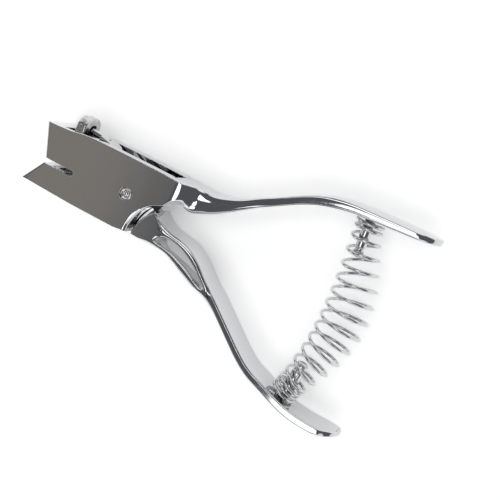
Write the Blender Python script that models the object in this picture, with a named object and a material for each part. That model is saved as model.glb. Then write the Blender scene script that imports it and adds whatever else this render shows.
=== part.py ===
"""Card slot punch: a plier-shaped hand punch that cuts a round-ended slot in a card.

It lies on its side. +X runs from the jaws back to the handles, +Y from the lower handle to the upper
one, and +Z up, across the jaws. The origin is on the cheek that it rests on, ahead of the pivot.
Outlines are drawn about the pivot and extruded across the tool.
"""

import math

import bmesh
import bpy
from mathutils import Matrix, Vector
from mathutils.geometry import interpolate_bezier

MM = 0.001
GAP = 0.3 * MM  # between pieces that touch on the real tool
OVERRUN = 1.5 * MM  # how far a cutter runs past the faces that it goes through
SHARP_ANGLE = math.radians(35)
ROUND_SEGMENTS = 32
SMALL_ROUND_SEGMENTS = 20

# Head
PUNCH_AHEAD = 29 * MM  # the punch's axis, ahead of the pivot
NOSE_LENGTH = 11.2 * MM  # from the punch's axis to the head's front edge, at the top
NOSE_CHAMFER = 2.2 * MM  # between the jaws' front edges and the cheeks
CHEEK_BACK = 2.0 * MM  # how far the flat cheeks start behind the front edge
CHIN_REACH = 1.9 * MM  # how far the lower jaw's tip stands ahead of that edge
HEAD_REAR = 17 * MM  # behind the pivot
HEAD_TOP = 13.2 * MM  # above the pivot
HEAD_BOTTOM = 13.6 * MM  # below the pivot
CHEEK_WALL = 3.5 * MM  # beside the punched slot
HEAD_BEVEL = 0.6 * MM
ORIGIN_AHEAD = 12 * MM  # the part's origin, ahead of the pivot
SCALLOP_RADIUS = 18 * MM  # hollow under the head's rear, which the lever's shoulder fills
SCALLOP_BEHIND = 23.3 * MM
SCALLOP_BELOW = 12.6 * MM
SCALLOP_START = math.radians(134)
SCALLOP_END = math.radians(181)
SCALLOP_STEPS = 10

# Throat that the card goes into
THROAT_HEIGHT = 2.0 * MM
THROAT_BELOW = 2.9 * MM  # its middle, below the pivot
THROAT_BEHIND = 6.4 * MM  # its closed end, behind the punch's axis
MOUTH_AHEAD = 6.7 * MM  # where it opens into the mouth, ahead of the punch's axis

# Punch and die
SLOT_LENGTH = 14 * MM  # across the tool
SLOT_WIDTH = 3 * MM
SADDLE_STEP = 1 * MM  # how far the saddle stands in from the blade's ends
SADDLE_THICKNESS = 4.4 * MM
SADDLE_HEIGHT = 9.2 * MM
SADDLE_ROUND = 4.2 * MM
SADDLE_ABOVE_EYE = 4.8 * MM
EYE_WIDTH = 4.4 * MM
EYE_HEIGHT = 4.0 * MM
EYE_ABOVE_HEAD = 0.2 * MM  # its middle, above the head's top
PUNCH_LIFT = 0.5 * MM  # the blade's tip, above the throat at rest
DIE_CLEARANCE = 0.35 * MM
DIE_RIM = 1.3 * MM
DIE_THICKNESS = 4 * MM
NOSE_WALL = 6.1 * MM  # of the head, ahead of the punch's pocket
POCKET_BACK = 4.4 * MM  # its rear wall, behind the punch's axis

# Pivot
RIVET_RADIUS = 1.7 * MM
RIVET_HEAD_RADIUS = 2.2 * MM
RIVET_HEAD_THICKNESS = 0.8 * MM
RIVET_RECESS = 0.1 * MM  # its ends lie this far inside the cheeks
RIVET_DOME_RADIUS = 0.9 * MM
RIVET_DIMPLE = 0.35 * MM
WASHER_THICKNESS = 0.7 * MM
WASHER_RADIUS = 5 * MM

# Lever
HUB_WIDTH = 8 * MM
HUB_RADIUS = 7 * MM
ROD_RADIUS = 1.5 * MM
ROD_SLOPE = math.radians(-5.4)  # the nose rod rises towards its free end
ROD_PAST_PUNCH = 2.6 * MM
ROD_ROOT = 2 * MM  # how far it starts inside the arm's end
LEVER_CLOSES = math.radians(10)
SHOULDER_GAP = 1.0 * MM
SHOULDER_EASE = 1.2 * MM
SHOULDER_START = math.radians(183)
SHOULDER_END = math.radians(135.5)
SHOULDER_STEPS = 6

# Handles
HANDLE_WIDTH = 15.2 * MM
HANDLE_REACH = 110 * MM  # behind the pivot
HANDLE_RISE = 34 * MM  # the upper handle's end, above the pivot
HANDLE_DROP = 45 * MM  # the lower handle's end, below the pivot
BAR_THICKNESS = 3.4 * MM
HANDLE_BEVEL = 0.9 * MM
TIP_LENGTH = 9.5 * MM  # of the handles' rounded ends, seen from above
TIP_STEPS = 16
CURVE_STEPS = 3  # straight pieces between two outline points

# Spring and its posts
UPPER_POST_BEHIND = 84 * MM  # behind the pivot
LOWER_POST_BEHIND = 83.2 * MM
UPPER_SEAT_BEHIND = 84.4 * MM  # the middle of the spring's end, behind the pivot
LOWER_SEAT_BEHIND = 82.3 * MM
UPPER_POST_RADIUS = 2.0 * MM
LOWER_POST_RADIUS = 2.4 * MM
POST_LENGTH = 14 * MM
POST_SHANK_SHARE = 0.6
POST_SHANK_DEPTH = 1.8 * MM
POST_GROOVE_DEPTH = 0.5 * MM
POST_GROOVE_WIDTH = 1.2 * MM
UPPER_POST_LEAN = math.radians(4.5)  # rearwards, from square across the tool
LOWER_POST_LEAN = math.radians(6)
POST_CHAMFER = 0.4 * MM
WIRE_RADIUS = 0.65 * MM
COIL_END_RADIUS = 4.9 * MM
COIL_MIDDLE_RADIUS = 8.4 * MM
COIL_TURNS = 16.5
CLOSE_TURNS_ABOVE = 1.5
CLOSE_TURNS_BELOW = 3.0
CLOSE_PITCH = 2.1 * MM
COIL_SWELL_POWER = 1.8
POINTS_PER_TURN = 9
COIL_BOW = 4.5 * MM  # rearwards, at the middle
COIL_BOW_POWER = 1.7  # over 1, so that its end turns lie flat on their seats
COIL_LEAN_SHARE = 0.3  # of its length: how far its ends stay square to the handles
COIL_SEAT_GAP = 0.45 * MM

# Places that follow from the sizes above
HEAD_FRONT = PUNCH_AHEAD + NOSE_LENGTH
CHEEK_FRONT = HEAD_FRONT - CHEEK_BACK
HEAD_WIDTH = SLOT_LENGTH + 2 * CHEEK_WALL
HALF_HEAD = HEAD_WIDTH / 2
HALF_HANDLE = HANDLE_WIDTH / 2
HALF_HUB = HUB_WIDTH / 2
HALF_SLOT = HALF_HUB + WASHER_THICKNESS + 2 * GAP  # the room between the cheeks
EYE_Y = HEAD_TOP + EYE_ABOVE_HEAD
THROAT_TOP = -THROAT_BELOW + THROAT_HEIGHT / 2
THROAT_FLOOR = -THROAT_BELOW - THROAT_HEIGHT / 2
SADDLE_WIDTH = SLOT_LENGTH - 2 * SADDLE_STEP
SADDLE_TOP = EYE_Y + SADDLE_ABOVE_EYE
SADDLE_BASE = SADDLE_TOP - SADDLE_HEIGHT
ROD_REACH = EYE_Y * math.cos(ROD_SLOPE) + PUNCH_AHEAD * math.sin(ROD_SLOPE)  # its axis from the pivot
PUNCH_TRAVEL = EYE_Y - (
    ROD_REACH / math.cos(ROD_SLOPE + LEVER_CLOSES)
    - PUNCH_AHEAD * math.tan(ROD_SLOPE + LEVER_CLOSES)
)
POCKET_FLOOR = SADDLE_BASE - PUNCH_TRAVEL - GAP
BORE_RADIUS = RIVET_RADIUS + GAP
PIVOT = Vector((ORIGIN_AHEAD, 0, HALF_HEAD))

# Outlines about the pivot. Shares ahead of the pivot are of CHEEK_FRONT, those behind of HEAD_REAR,
# those above of HEAD_TOP and those below of HEAD_BOTTOM.
NOSE_TOP_SHARE = 0.84
HEAD_TOP_SHARES = ((-1, 0.85), (-0.79, 0.885), (-0.6, 0.97), (-0.38, 0.99), (0.4, 1), (0.78, 0.99))
HEAD_REAR_SHARES = ((0.97, 0.9), (1.02, 0.7), (1, 0.36), (0.87, 0.16))
HEAD_UNDERSIDE_SHARES = ((0, -1), (-0.5, -1.0))
CHIN_SHARE = 0.95
ARM_SHARES = ((-0.55, 1.05), (-0.47, 1.01), (-0.4, 0.94), (-0.28, 0.76), (-0.12, 0.55))
ARM_UNDERSIDE_SHARES = ((-0.15, -0.35), (-0.29, 0.05), (-0.45, 0.55), (-0.55, 0.8))
# The slot's floor between the cheeks, under the arm and the hub
SLOT_FLOOR_SHARES = ((-0.46, 0.1), (-0.24, -0.42), (-0.08, -0.66), (0.2, -0.76))
SLOT_BACK_SHARE = 0.82
# Where the hub's narrow body runs into the neck
HUB_TAIL_SHARES = ((0.75, -0.25), (0.75, -0.9), (0.5, -0.93), (0.29, -0.7))

# Upper handle: share of HANDLE_REACH, share of HANDLE_RISE, depth in bar thicknesses. It starts
# inside the head, at a share of HEAD_REAR.
HANDLE_ROOT_SHARE = 0.84
UPPER_HANDLE_SHARES = (
    (HANDLE_ROOT_SHARE * HEAD_REAR / HANDLE_REACH, 0.275, 2.1),
    (0.182, 0.285, 2.1),
    (0.206, 0.262, 2.8),
    (0.227, 0.262, 2.85),
    (0.255, 0.282, 2.55),
    (0.291, 0.318, 2.2),
    (0.342, 0.394, 1.75),
    (0.38, 0.465, 1.45),
    (0.425, 0.558, 1.22),
    (0.463, 0.626, 1.14),
    (0.51, 0.715, 1.14),
    (0.555, 0.796, 1.15),
    (0.6, 0.86, 1.15),
    (0.65, 0.906, 1.12),
    (0.705, 0.938, 1.05),
    (0.78, 0.955, 1.0),
    (0.855, 0.968, 0.95),
    (0.923, 0.978, 0.87),
    (0.965, 0.986, 0.8),
    (1, 0.997, 0.7),
)
# Lower handle, from behind the window: share of HANDLE_REACH, share of HANDLE_DROP, the same depth
LOWER_HANDLE_SHARES = (
    (0.386, -0.437, 1.5),
    (0.427, -0.502, 1.27),
    (0.475, -0.594, 1.24),
    (0.525, -0.69, 1.24),
    (0.575, -0.784, 1.2),
    (0.625, -0.858, 1.08),
    (0.68, -0.907, 1.03),
    (0.74, -0.958, 1.0),
    (0.8, -0.996, 0.95),
    (0.86, -1.009, 0.88),
    (0.92, -1.003, 0.8),
    (0.982, -0.971, 0.6),
)
# The neck's two branches and the window between them: shares of HANDLE_REACH and HANDLE_DROP
NECK_INNER_SHARES = (
    (0.136, -0.087),
    (0.165, -0.12),
    (0.2, -0.14),
    (0.24, -0.155),
    (0.28, -0.187),
    (0.325, -0.255),
    (0.36, -0.33),
)
NECK_OUTER_SHARES = (
    (0.36, -0.472),
    (0.32, -0.444),
    (0.264, -0.387),
    (0.222, -0.336),
    (0.185, -0.309),
    (0.124, -0.302),
    (0.09, -0.302),
)
WINDOW_SHARES = (
    (0.15, -0.252),
    (0.162, -0.205),
    (0.192, -0.187),
    (0.225, -0.197),
    (0.262, -0.227),
    (0.3, -0.275),
    (0.34, -0.345),
    (0.37, -0.41),
    (0.355, -0.42),
    (0.31, -0.362),
    (0.262, -0.312),
    (0.215, -0.277),
)

STEEL = (0.55, 0.55, 0.57)
CHROME = (0.78, 0.78, 0.8)


def remove_scene_objects():
    for obj in list(bpy.data.objects):
        bpy.data.objects.remove(obj)


def metal(name, colour, roughness):
    material = bpy.data.materials.new(name)
    material.use_nodes = True
    shader = material.node_tree.nodes["Principled BSDF"]
    shader.inputs["Base Color"].default_value = (*colour, 1)
    shader.inputs["Metallic"].default_value = 1
    shader.inputs["Roughness"].default_value = roughness
    return material


def empty_at(name, place):
    empty = bpy.data.objects.new(name, None)
    bpy.context.collection.objects.link(empty)
    empty.location = place
    return empty


def new_object(name, mesh, parent, material=None):
    obj = bpy.data.objects.new(name, mesh)
    bpy.context.collection.objects.link(obj)
    obj.parent = parent
    if material:
        mesh.materials.append(material)
    return obj


def finish_mesh(name, shape):
    bmesh.ops.recalc_face_normals(shape, faces=shape.faces)
    mesh = bpy.data.meshes.new(name)
    shape.to_mesh(mesh)
    shape.free()
    mesh.shade_smooth()
    mesh.set_sharp_from_angle(angle=SHARP_ANGLE)
    return mesh


def prism_mesh(name, outline, low, high, turn=None):
    """The outline's (u, v) points extruded from low to high, then turned into place."""
    shape = bmesh.new()
    base = shape.faces.new([shape.verts.new((u, v, low)) for u, v in outline])
    made = bmesh.ops.extrude_face_region(shape, geom=[base])["geom"]
    raised = [part for part in made if isinstance(part, bmesh.types.BMVert)]
    bmesh.ops.translate(shape, verts=raised, vec=(0, 0, high - low))
    if turn:
        bmesh.ops.transform(shape, matrix=turn, verts=shape.verts)
    return finish_mesh(name, shape)


def turned_mesh(name, profile, segments, closed=False):
    """The (radius, height) profile spun about Z. A closed profile makes a ring."""
    shape = bmesh.new()
    points = [shape.verts.new((radius, 0, height)) for radius, height in profile]
    ends = points[1:] + points[:1] if closed else points[1:]
    edges = [shape.edges.new(pair) for pair in zip(points, ends)]
    bmesh.ops.spin(
        shape,
        geom=points + edges,
        axis=(0, 0, 1),
        cent=(0, 0, 0),
        steps=segments,
        angle=math.tau,
        use_merge=True,
    )
    bmesh.ops.remove_doubles(shape, verts=shape.verts, dist=GAP / 100)
    return finish_mesh(name, shape)


def curve_through(points, steps=CURVE_STEPS):
    """Points along a smooth open curve through the ones given."""
    points = [Vector(point) for point in points]
    before = [2 * points[0] - points[1]] + points[:-1]
    after = points[1:] + [2 * points[-1] - points[-2]]
    lean = [(b - a) / 6 for a, b in zip(before, after)]
    found = [points[0]]
    for i in range(len(points) - 1):
        start, end = points[i], points[i + 1]
        found += interpolate_bezier(start, start + lean[i], end - lean[i + 1], end, steps + 1)[1:]
    return [(point.x, point.y) for point in found]


def arc(centre, radius, start, end, steps):
    angles = [start + (end - start) * i / steps for i in range(steps + 1)]
    return [(centre[0] + radius * math.cos(a), centre[1] + radius * math.sin(a)) for a in angles]


def rounded_box(width, height, radius, steps=SMALL_ROUND_SEGMENTS // 4):
    """A rectangle about the origin with round corners."""
    x, y = width / 2 - radius, height / 2 - radius
    outline = []
    for i, (side, rise) in enumerate(((1, 1), (-1, 1), (-1, -1), (1, -1))):
        start = i * math.pi / 2
        outline += arc((side * x, rise * y), radius, start, start + math.pi / 2, steps)
    return outline


def round_ended(length, width):
    """A slot outline: length across the first axis, width along the second."""
    reach = length / 2 - width / 2
    steps = SMALL_ROUND_SEGMENTS // 2
    right = arc((reach, 0), width / 2, -math.pi / 2, math.pi / 2, steps)
    return right + arc((-reach, 0), width / 2, math.pi / 2, 3 * math.pi / 2, steps)


def head_places(shares):
    """Points given in shares of the head's four reaches from the pivot."""
    return [
        (x * (CHEEK_FRONT if x < 0 else HEAD_REAR), y * (HEAD_BOTTOM if y < 0 else HEAD_TOP))
        for x, y in shares
    ]


def bar_outline(shares, height):
    """The two edges of a handle, out along the top and back along the bottom."""
    line = [(x * HANDLE_REACH, y * abs(height), depth * BAR_THICKNESS) for x, y, depth in shares]
    above = curve_through([(x, y + depth / 2) for x, y, depth in line])
    below = curve_through([(x, y - depth / 2) for x, y, depth in reversed(line)])
    return above, below


def add_bevel(obj, width):
    modifier = obj.modifiers.new("edges", "BEVEL")
    modifier.width = width
    modifier.segments = 2
    modifier.limit_method = "ANGLE"
    modifier.angle_limit = SHARP_ANGLE


def combine(obj, other, operation):
    modifier = obj.modifiers.new(other.name, "BOOLEAN")
    modifier.operation = operation
    modifier.object = other
    other.hide_render = True
    other.display_type = "WIRE"


def tip_cutter(name, pivot, end):
    """What lies outside a handle's rounded end, seen from above."""
    start = end - TIP_LENGTH
    half = HALF_HANDLE + GAP / 10
    curve = [
        (half * math.cos(angle), start + TIP_LENGTH * math.sin(angle))
        for angle in (math.pi * i / TIP_STEPS for i in range(TIP_STEPS + 1))
    ]
    wide, far = HALF_HANDLE + OVERRUN, end + OVERRUN
    outline = [(wide, start), *curve, (-wide, start), (-wide, far), (wide, far)]
    mesh = upright_prism(name, outline, -HANDLE_DROP - BAR_THICKNESS, HANDLE_RISE + BAR_THICKNESS, 0)
    return new_object(name, mesh, pivot)


def chamfer_nose(obj):
    """Marks the cheeks' edges along the front of both jaws, and bevels them first."""
    mesh = obj.data
    weights = mesh.attributes.new("bevel_weight_edge", "FLOAT", "EDGE")
    front = -PUNCH_AHEAD - MOUTH_AHEAD + GAP
    for edge in mesh.edges:
        a, b = (mesh.vertices[i].co for i in edge.vertices)
        weights.data[edge.index].value = float(max(a.x, b.x) < front and abs(a.z - b.z) < GAP)
    modifier = obj.modifiers.new("nose", "BEVEL")
    modifier.width = NOSE_CHAMFER
    modifier.segments = 1
    modifier.limit_method = "WEIGHT"


def head_outline():
    outline = [(-HEAD_FRONT, NOSE_TOP_SHARE * HEAD_TOP)]
    outline += curve_through(head_places(HEAD_TOP_SHARES)) + head_places(HEAD_REAR_SHARES)
    centre = (SCALLOP_BEHIND, -SCALLOP_BELOW)
    outline += arc(centre, SCALLOP_RADIUS, SCALLOP_START, SCALLOP_END, SCALLOP_STEPS)
    outline += head_places(HEAD_UNDERSIDE_SHARES)
    outline += [
        (-HEAD_FRONT - CHIN_REACH, -CHIN_SHARE * HEAD_BOTTOM),
        (-PUNCH_AHEAD - MOUTH_AHEAD, THROAT_FLOOR),
        (-PUNCH_AHEAD - MOUTH_AHEAD, THROAT_TOP),
    ]
    return outline


def throat_cutter(pivot):
    half = THROAT_HEIGHT / 2
    start = -PUNCH_AHEAD - MOUTH_AHEAD - OVERRUN
    end = -PUNCH_AHEAD + THROAT_BEHIND - half
    outline = [(start, THROAT_TOP), (start, THROAT_FLOOR)]
    steps = SMALL_ROUND_SEGMENTS // 2
    outline += arc((end, -THROAT_BELOW), half, -math.pi / 2, math.pi / 2, steps)
    reach = HALF_HEAD + OVERRUN
    return new_object("throat_cut", prism_mesh("throat_cut", outline, -reach, reach), pivot)


def arm_slot_cutter(pivot):
    """The room between the cheeks for the arm, open at the top and through the scallop."""
    above = HEAD_TOP + OVERRUN
    front = -PUNCH_AHEAD + POCKET_BACK / 2
    back = SLOT_BACK_SHARE * HEAD_REAR
    floor = head_places(SLOT_FLOOR_SHARES)
    outline = [(front, above), (front, POCKET_FLOOR), *floor, (back, floor[-1][1]), (back, above)]
    mesh = prism_mesh("arm_slot_cut", outline, -HALF_SLOT, HALF_SLOT)
    return new_object("arm_slot_cut", mesh, pivot)


def punch_pocket_cutter(pivot):
    """The wider room round the saddle, which the blade is put in through."""
    front = -HEAD_FRONT + NOSE_WALL
    back = -PUNCH_AHEAD + POCKET_BACK
    outline = [(front, HEAD_TOP + OVERRUN), (front, POCKET_FLOOR), (back, POCKET_FLOOR)]
    outline += [(back, HEAD_TOP + OVERRUN)]
    reach = SLOT_LENGTH / 2 + GAP
    return new_object("pocket_cut", prism_mesh("pocket_cut", outline, -reach, reach), pivot)


def upright_prism(name, outline, low, high, x):
    """A (Z, X) outline extruded along +Y from low to high, about the line at x."""
    turn = Matrix(((0, 1, 0, x), (0, 0, 1, 0), (1, 0, 0, 0), (0, 0, 0, 1)))
    return prism_mesh(name, outline, low, high, turn)


def guide_cutter(pivot):
    outline = round_ended(SLOT_LENGTH + 2 * GAP, SLOT_WIDTH + 2 * GAP)
    mesh = upright_prism("guide_cut", outline, -THROAT_BELOW, POCKET_FLOOR + OVERRUN, -PUNCH_AHEAD)
    return new_object("guide_cut", mesh, pivot)


def die_size(gap=0):
    """The die insert's length across the tool and its width along it."""
    rim = 2 * (DIE_CLEARANCE + DIE_RIM + gap)
    return SLOT_LENGTH + rim, SLOT_WIDTH + rim


def die_pocket_cutter(pivot):
    """The die insert's seat, which runs on down as the chute for the cut slugs."""
    length, width = die_size(GAP)
    outline = rounded_box(length, width, DIE_RIM)
    mesh = upright_prism("die_cut", outline, -HEAD_BOTTOM - OVERRUN, -THROAT_BELOW, -PUNCH_AHEAD)
    return new_object("die_cut", mesh, pivot)


def rivet_hole_cutter(pivot):
    depth = RIVET_RECESS + RIVET_HEAD_THICKNESS + GAP
    out = HALF_HEAD + OVERRUN
    wide = RIVET_HEAD_RADIUS + GAP
    profile = [(0, -out), (wide, -out), (wide, depth - HALF_HEAD), (BORE_RADIUS, depth - HALF_HEAD)]
    profile += [(radius, -height) for radius, height in reversed(profile)]
    mesh = turned_mesh("rivet_cut", profile, ROUND_SEGMENTS)
    return new_object("rivet_cut", mesh, pivot)


def edge_at(points, x):
    """The edge's height at x, and its slope there."""
    points = sorted(points)
    for (x0, y0), (x1, y1) in zip(points, points[1:]):
        if x0 <= x <= x1:
            slope = (y1 - y0) / (x1 - x0)
            return y0 + slope * (x - x0), slope
    raise ValueError("the edge doesn't reach that far")


def upper_seat(behind):
    """The place on the upper handle's inner side, and the unit normal out of it."""
    y, slope = edge_at(bar_outline(UPPER_HANDLE_SHARES, HANDLE_RISE)[1], behind)
    return Vector((behind, y, 0)), Vector((slope, -1, 0)).normalized()


def lower_seat(behind):
    y, slope = edge_at(bar_outline(LOWER_HANDLE_SHARES, HANDLE_DROP)[0], behind)
    return Vector((behind, y, 0)), Vector((-slope, 1, 0)).normalized()


def post_place(seat, lean, side, radius):
    """The matrix that stands a post, turned about Z, on its seat."""
    place, normal = seat
    axis = Vector((math.sin(lean), side * math.cos(lean), 0))
    tilt = math.sin(axis.angle(normal))
    across = Vector((0, 0, 1))
    turn = Matrix((axis.cross(across), across, axis)).transposed().to_4x4()
    return Matrix.Translation(place + normal * (GAP + radius * tilt)) @ turn


def post_hole_cutter(name, pivot, matrix, radius):
    shank = radius * POST_SHANK_SHARE + GAP
    profile = [(0, -POST_SHANK_DEPTH - GAP), (shank, -POST_SHANK_DEPTH - GAP)]
    profile += [(shank, OVERRUN), (0, OVERRUN)]
    obj = new_object(name, turned_mesh(name, profile, SMALL_ROUND_SEGMENTS), pivot)
    obj.matrix_local = matrix
    return obj


def make_head(pivot, post_matrix, material):
    name = "head_and_upper_handle"
    mesh = prism_mesh(name, head_outline(), -HALF_HEAD, HALF_HEAD)
    head = new_object(name, mesh, pivot, material)
    chamfer_nose(head)
    add_bevel(head, HEAD_BEVEL)
    above, below = bar_outline(UPPER_HANDLE_SHARES, HANDLE_RISE)
    mesh = prism_mesh("upper_bar", above + below, -HALF_HANDLE, HALF_HANDLE)
    bar = new_object("upper_bar", mesh, pivot)
    combine(bar, tip_cutter("upper_tip_cut", pivot, HANDLE_REACH), "DIFFERENCE")
    add_bevel(bar, HANDLE_BEVEL)
    combine(head, bar, "UNION")
    for cutter in (
        arm_slot_cutter(pivot),
        punch_pocket_cutter(pivot),
        guide_cutter(pivot),
        throat_cutter(pivot),
        die_pocket_cutter(pivot),
        rivet_hole_cutter(pivot),
        post_hole_cutter("upper_post_cut", pivot, post_matrix, UPPER_POST_RADIUS),
    ):
        combine(head, cutter, "DIFFERENCE")
    return head


def handle_places(shares):
    return [(x * HANDLE_REACH, y * HANDLE_DROP) for x, y in shares]


def lever_outline():
    """Round the wide part of the lever: shoulder, neck and lower handle."""
    outline = []
    for i in range(SHOULDER_STEPS + 1):
        share = i / SHOULDER_STEPS
        angle = SHOULDER_START + (SHOULDER_END - SHOULDER_START) * share
        reach = SCALLOP_RADIUS - SHOULDER_GAP - SHOULDER_EASE * share
        x = SCALLOP_BEHIND + reach * math.cos(angle)
        outline.append((x, -SCALLOP_BELOW + reach * math.sin(angle)))
    above, below = bar_outline(LOWER_HANDLE_SHARES, HANDLE_DROP)
    outline += curve_through(handle_places(NECK_INNER_SHARES)) + above + below
    return outline + curve_through(handle_places(NECK_OUTER_SHARES))


def hub_outline():
    """Round the narrow part between the cheeks: arm, hub and the body that joins the neck."""
    arm = curve_through(head_places(ARM_SHARES))
    top = math.atan2(arm[-1][1], arm[-1][0])
    hub = arc((0, 0), HUB_RADIUS, top, 0, SMALL_ROUND_SEGMENTS // 2)[1:]
    under = curve_through(head_places(ARM_UNDERSIDE_SHARES))
    return arm + hub + head_places(HUB_TAIL_SHARES) + [(0, -HUB_RADIUS)] + under


def nose_rod(pivot):
    """The round rod at the arm's end, drawn along -X and tilted to its slope."""
    near, far = -ARM_SHARES[0][0] * CHEEK_FRONT - ROD_ROOT, PUNCH_AHEAD + ROD_PAST_PUNCH
    tip = far - ROD_RADIUS / 2
    profile = [(0, near), (ROD_RADIUS, near), (ROD_RADIUS, tip), (ROD_RADIUS / 2, far), (0, far)]
    rod = new_object("nose_rod", turned_mesh("nose_rod", profile, SMALL_ROUND_SEGMENTS), pivot)
    lift = Matrix.Translation((0, ROD_REACH / math.cos(ROD_SLOPE), 0))
    rod.matrix_local = lift @ Matrix.Rotation(ROD_SLOPE, 4, "Z") @ Matrix.Rotation(-math.pi / 2, 4, "Y")
    return rod


def make_lever(pivot, post_matrix, material):
    name = "lever_and_lower_handle"
    mesh = prism_mesh(name, lever_outline(), -HALF_HANDLE, HALF_HANDLE)
    lever = new_object(name, mesh, pivot, material)
    end = LOWER_HANDLE_SHARES[-1][0] * HANDLE_REACH
    combine(lever, tip_cutter("lower_tip_cut", pivot, end), "DIFFERENCE")
    add_bevel(lever, HANDLE_BEVEL)
    mesh = prism_mesh("hub_and_arm", hub_outline(), -HALF_HUB, HALF_HUB)
    combine(lever, new_object("hub_and_arm", mesh, pivot), "UNION")
    combine(lever, nose_rod(pivot), "UNION")
    reach = HALF_HANDLE + OVERRUN
    mesh = prism_mesh("window_cut", handle_places(WINDOW_SHARES), -reach, reach)
    combine(lever, new_object("window_cut", mesh, pivot), "DIFFERENCE")
    bore = [(0, -reach), (BORE_RADIUS, -reach), (BORE_RADIUS, reach), (0, reach)]
    mesh = turned_mesh("bore_cut", bore, ROUND_SEGMENTS)
    combine(lever, new_object("bore_cut", mesh, pivot), "DIFFERENCE")
    hole = post_hole_cutter("lower_post_cut", pivot, post_matrix, LOWER_POST_RADIUS)
    combine(lever, hole, "DIFFERENCE")
    return lever


def make_punch(punch_axis, material):
    """The round-ended blade under the arched saddle, with the eye for the nose rod."""
    name = "slot_punch"
    tip = THROAT_TOP + PUNCH_LIFT
    blade = round_ended(SLOT_LENGTH, SLOT_WIDTH)
    mesh = upright_prism(name, blade, tip, SADDLE_BASE + OVERRUN, 0)
    punch = new_object(name, mesh, punch_axis, material)
    across = Matrix(((0, 0, 1, 0), (0, 1, 0, 0), (-1, 0, 0, 0), (0, 0, 0, 1)))
    half = SADDLE_WIDTH / 2
    arch = [(-half, SADDLE_BASE), (half, SADDLE_BASE)]
    steps = SMALL_ROUND_SEGMENTS // 3
    for side, start in ((1, 0), (-1, math.pi / 2)):
        corner = (side * (half - SADDLE_ROUND), SADDLE_TOP - SADDLE_ROUND)
        arch += arc(corner, SADDLE_ROUND, start, start + math.pi / 2, steps)
    thick = SADDLE_THICKNESS / 2
    saddle = new_object("saddle", prism_mesh("saddle", arch, -thick, thick, across), punch_axis)
    add_bevel(saddle, HEAD_BEVEL)
    combine(punch, saddle, "UNION")
    eye = [(z, y + EYE_Y) for z, y in rounded_box(EYE_WIDTH, EYE_HEIGHT, EYE_HEIGHT / 3)]
    thick += OVERRUN
    cutter = new_object("eye_cut", prism_mesh("eye_cut", eye, -thick, thick, across), punch_axis)
    combine(punch, cutter, "DIFFERENCE")
    return punch


def make_die(punch_axis, material):
    length, width = die_size()
    outline = rounded_box(length, width, DIE_RIM)
    mesh = upright_prism("die_insert", outline, THROAT_FLOOR - DIE_THICKNESS, THROAT_FLOOR, 0)
    die = new_object("die_insert", mesh, punch_axis, material)
    hole = round_ended(SLOT_LENGTH + 2 * DIE_CLEARANCE, SLOT_WIDTH + 2 * DIE_CLEARANCE)
    low = THROAT_FLOOR - DIE_THICKNESS - OVERRUN
    mesh = upright_prism("die_hole", hole, low, THROAT_FLOOR + OVERRUN, 0)
    combine(die, new_object("die_hole", mesh, punch_axis), "DIFFERENCE")
    return die


def make_rivet(pivot, material):
    """Shank and two flush heads, each with a dimpled ring round a low dome."""
    end = HALF_HEAD - RIVET_RECESS
    under = end - RIVET_HEAD_THICKNESS
    ring = (RIVET_HEAD_RADIUS + RIVET_DOME_RADIUS) / 2
    half = [(0, end), (RIVET_DOME_RADIUS, end - RIVET_DIMPLE), (ring, end - RIVET_DIMPLE)]
    half += [(ring, end), (RIVET_HEAD_RADIUS, end), (RIVET_HEAD_RADIUS, under), (RIVET_RADIUS, under)]
    profile = half + [(radius, -height) for radius, height in reversed(half)]
    mesh = turned_mesh("pivot_rivet", profile, ROUND_SEGMENTS)
    return new_object("pivot_rivet", mesh, pivot, material)


def make_washers(pivot, material):
    inner = HALF_HUB + GAP
    outer = inner + WASHER_THICKNESS
    profile = [(BORE_RADIUS, inner), (WASHER_RADIUS, inner), (WASHER_RADIUS, outer)]
    profile += [(BORE_RADIUS, outer)]
    near = turned_mesh("near_pivot_washer", profile, ROUND_SEGMENTS, closed=True)
    new_object("near_pivot_washer", near, pivot, material)
    far = [(radius, -height) for radius, height in profile]
    far = turned_mesh("far_pivot_washer", far, ROUND_SEGMENTS, closed=True)
    new_object("far_pivot_washer", far, pivot, material)


def make_post(name, pivot, matrix, radius, material):
    """A peg with a shank in the handle and a groove near its free end."""
    shank = radius * POST_SHANK_SHARE
    groove = POST_LENGTH - 2 * POST_GROOVE_WIDTH
    profile = [(0, -POST_SHANK_DEPTH), (shank, -POST_SHANK_DEPTH), (shank, 0), (radius, 0)]
    core = radius - POST_GROOVE_DEPTH
    profile += [(radius, groove - POST_GROOVE_WIDTH), (core, groove - POST_GROOVE_WIDTH)]
    profile += [(core, groove), (radius, groove)]
    profile += [(radius, POST_LENGTH - POST_CHAMFER), (radius - POST_CHAMFER, POST_LENGTH)]
    profile += [(0, POST_LENGTH)]
    post = new_object(name, turned_mesh(name, profile, SMALL_ROUND_SEGMENTS), pivot, material)
    post.matrix_local = matrix
    return post


def coil_line(upper, lower):
    """A function from 0..1 to the spring's bowed centre line, and the line's length."""
    offset = COIL_SEAT_GAP + WIRE_RADIUS
    start, end = (place + normal * offset for place, normal in (upper, lower))
    reach = (start - end).length * COIL_LEAN_SHARE
    handles = start + upper[1] * reach, end + lower[1] * reach

    def place(share):
        rest = 1 - share
        line = start * rest**3 + 3 * handles[0] * share * rest**2
        line += 3 * handles[1] * share**2 * rest + end * share**3
        bow = COIL_BOW * max(0, math.sin(math.pi * share)) ** COIL_BOW_POWER
        return line + Vector((bow, 0, 0))

    steps = POINTS_PER_TURN * math.ceil(COIL_TURNS)
    stops = [place(i / steps) for i in range(steps + 1)]
    return place, sum((b - a).length for a, b in zip(stops, stops[1:]))


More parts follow.
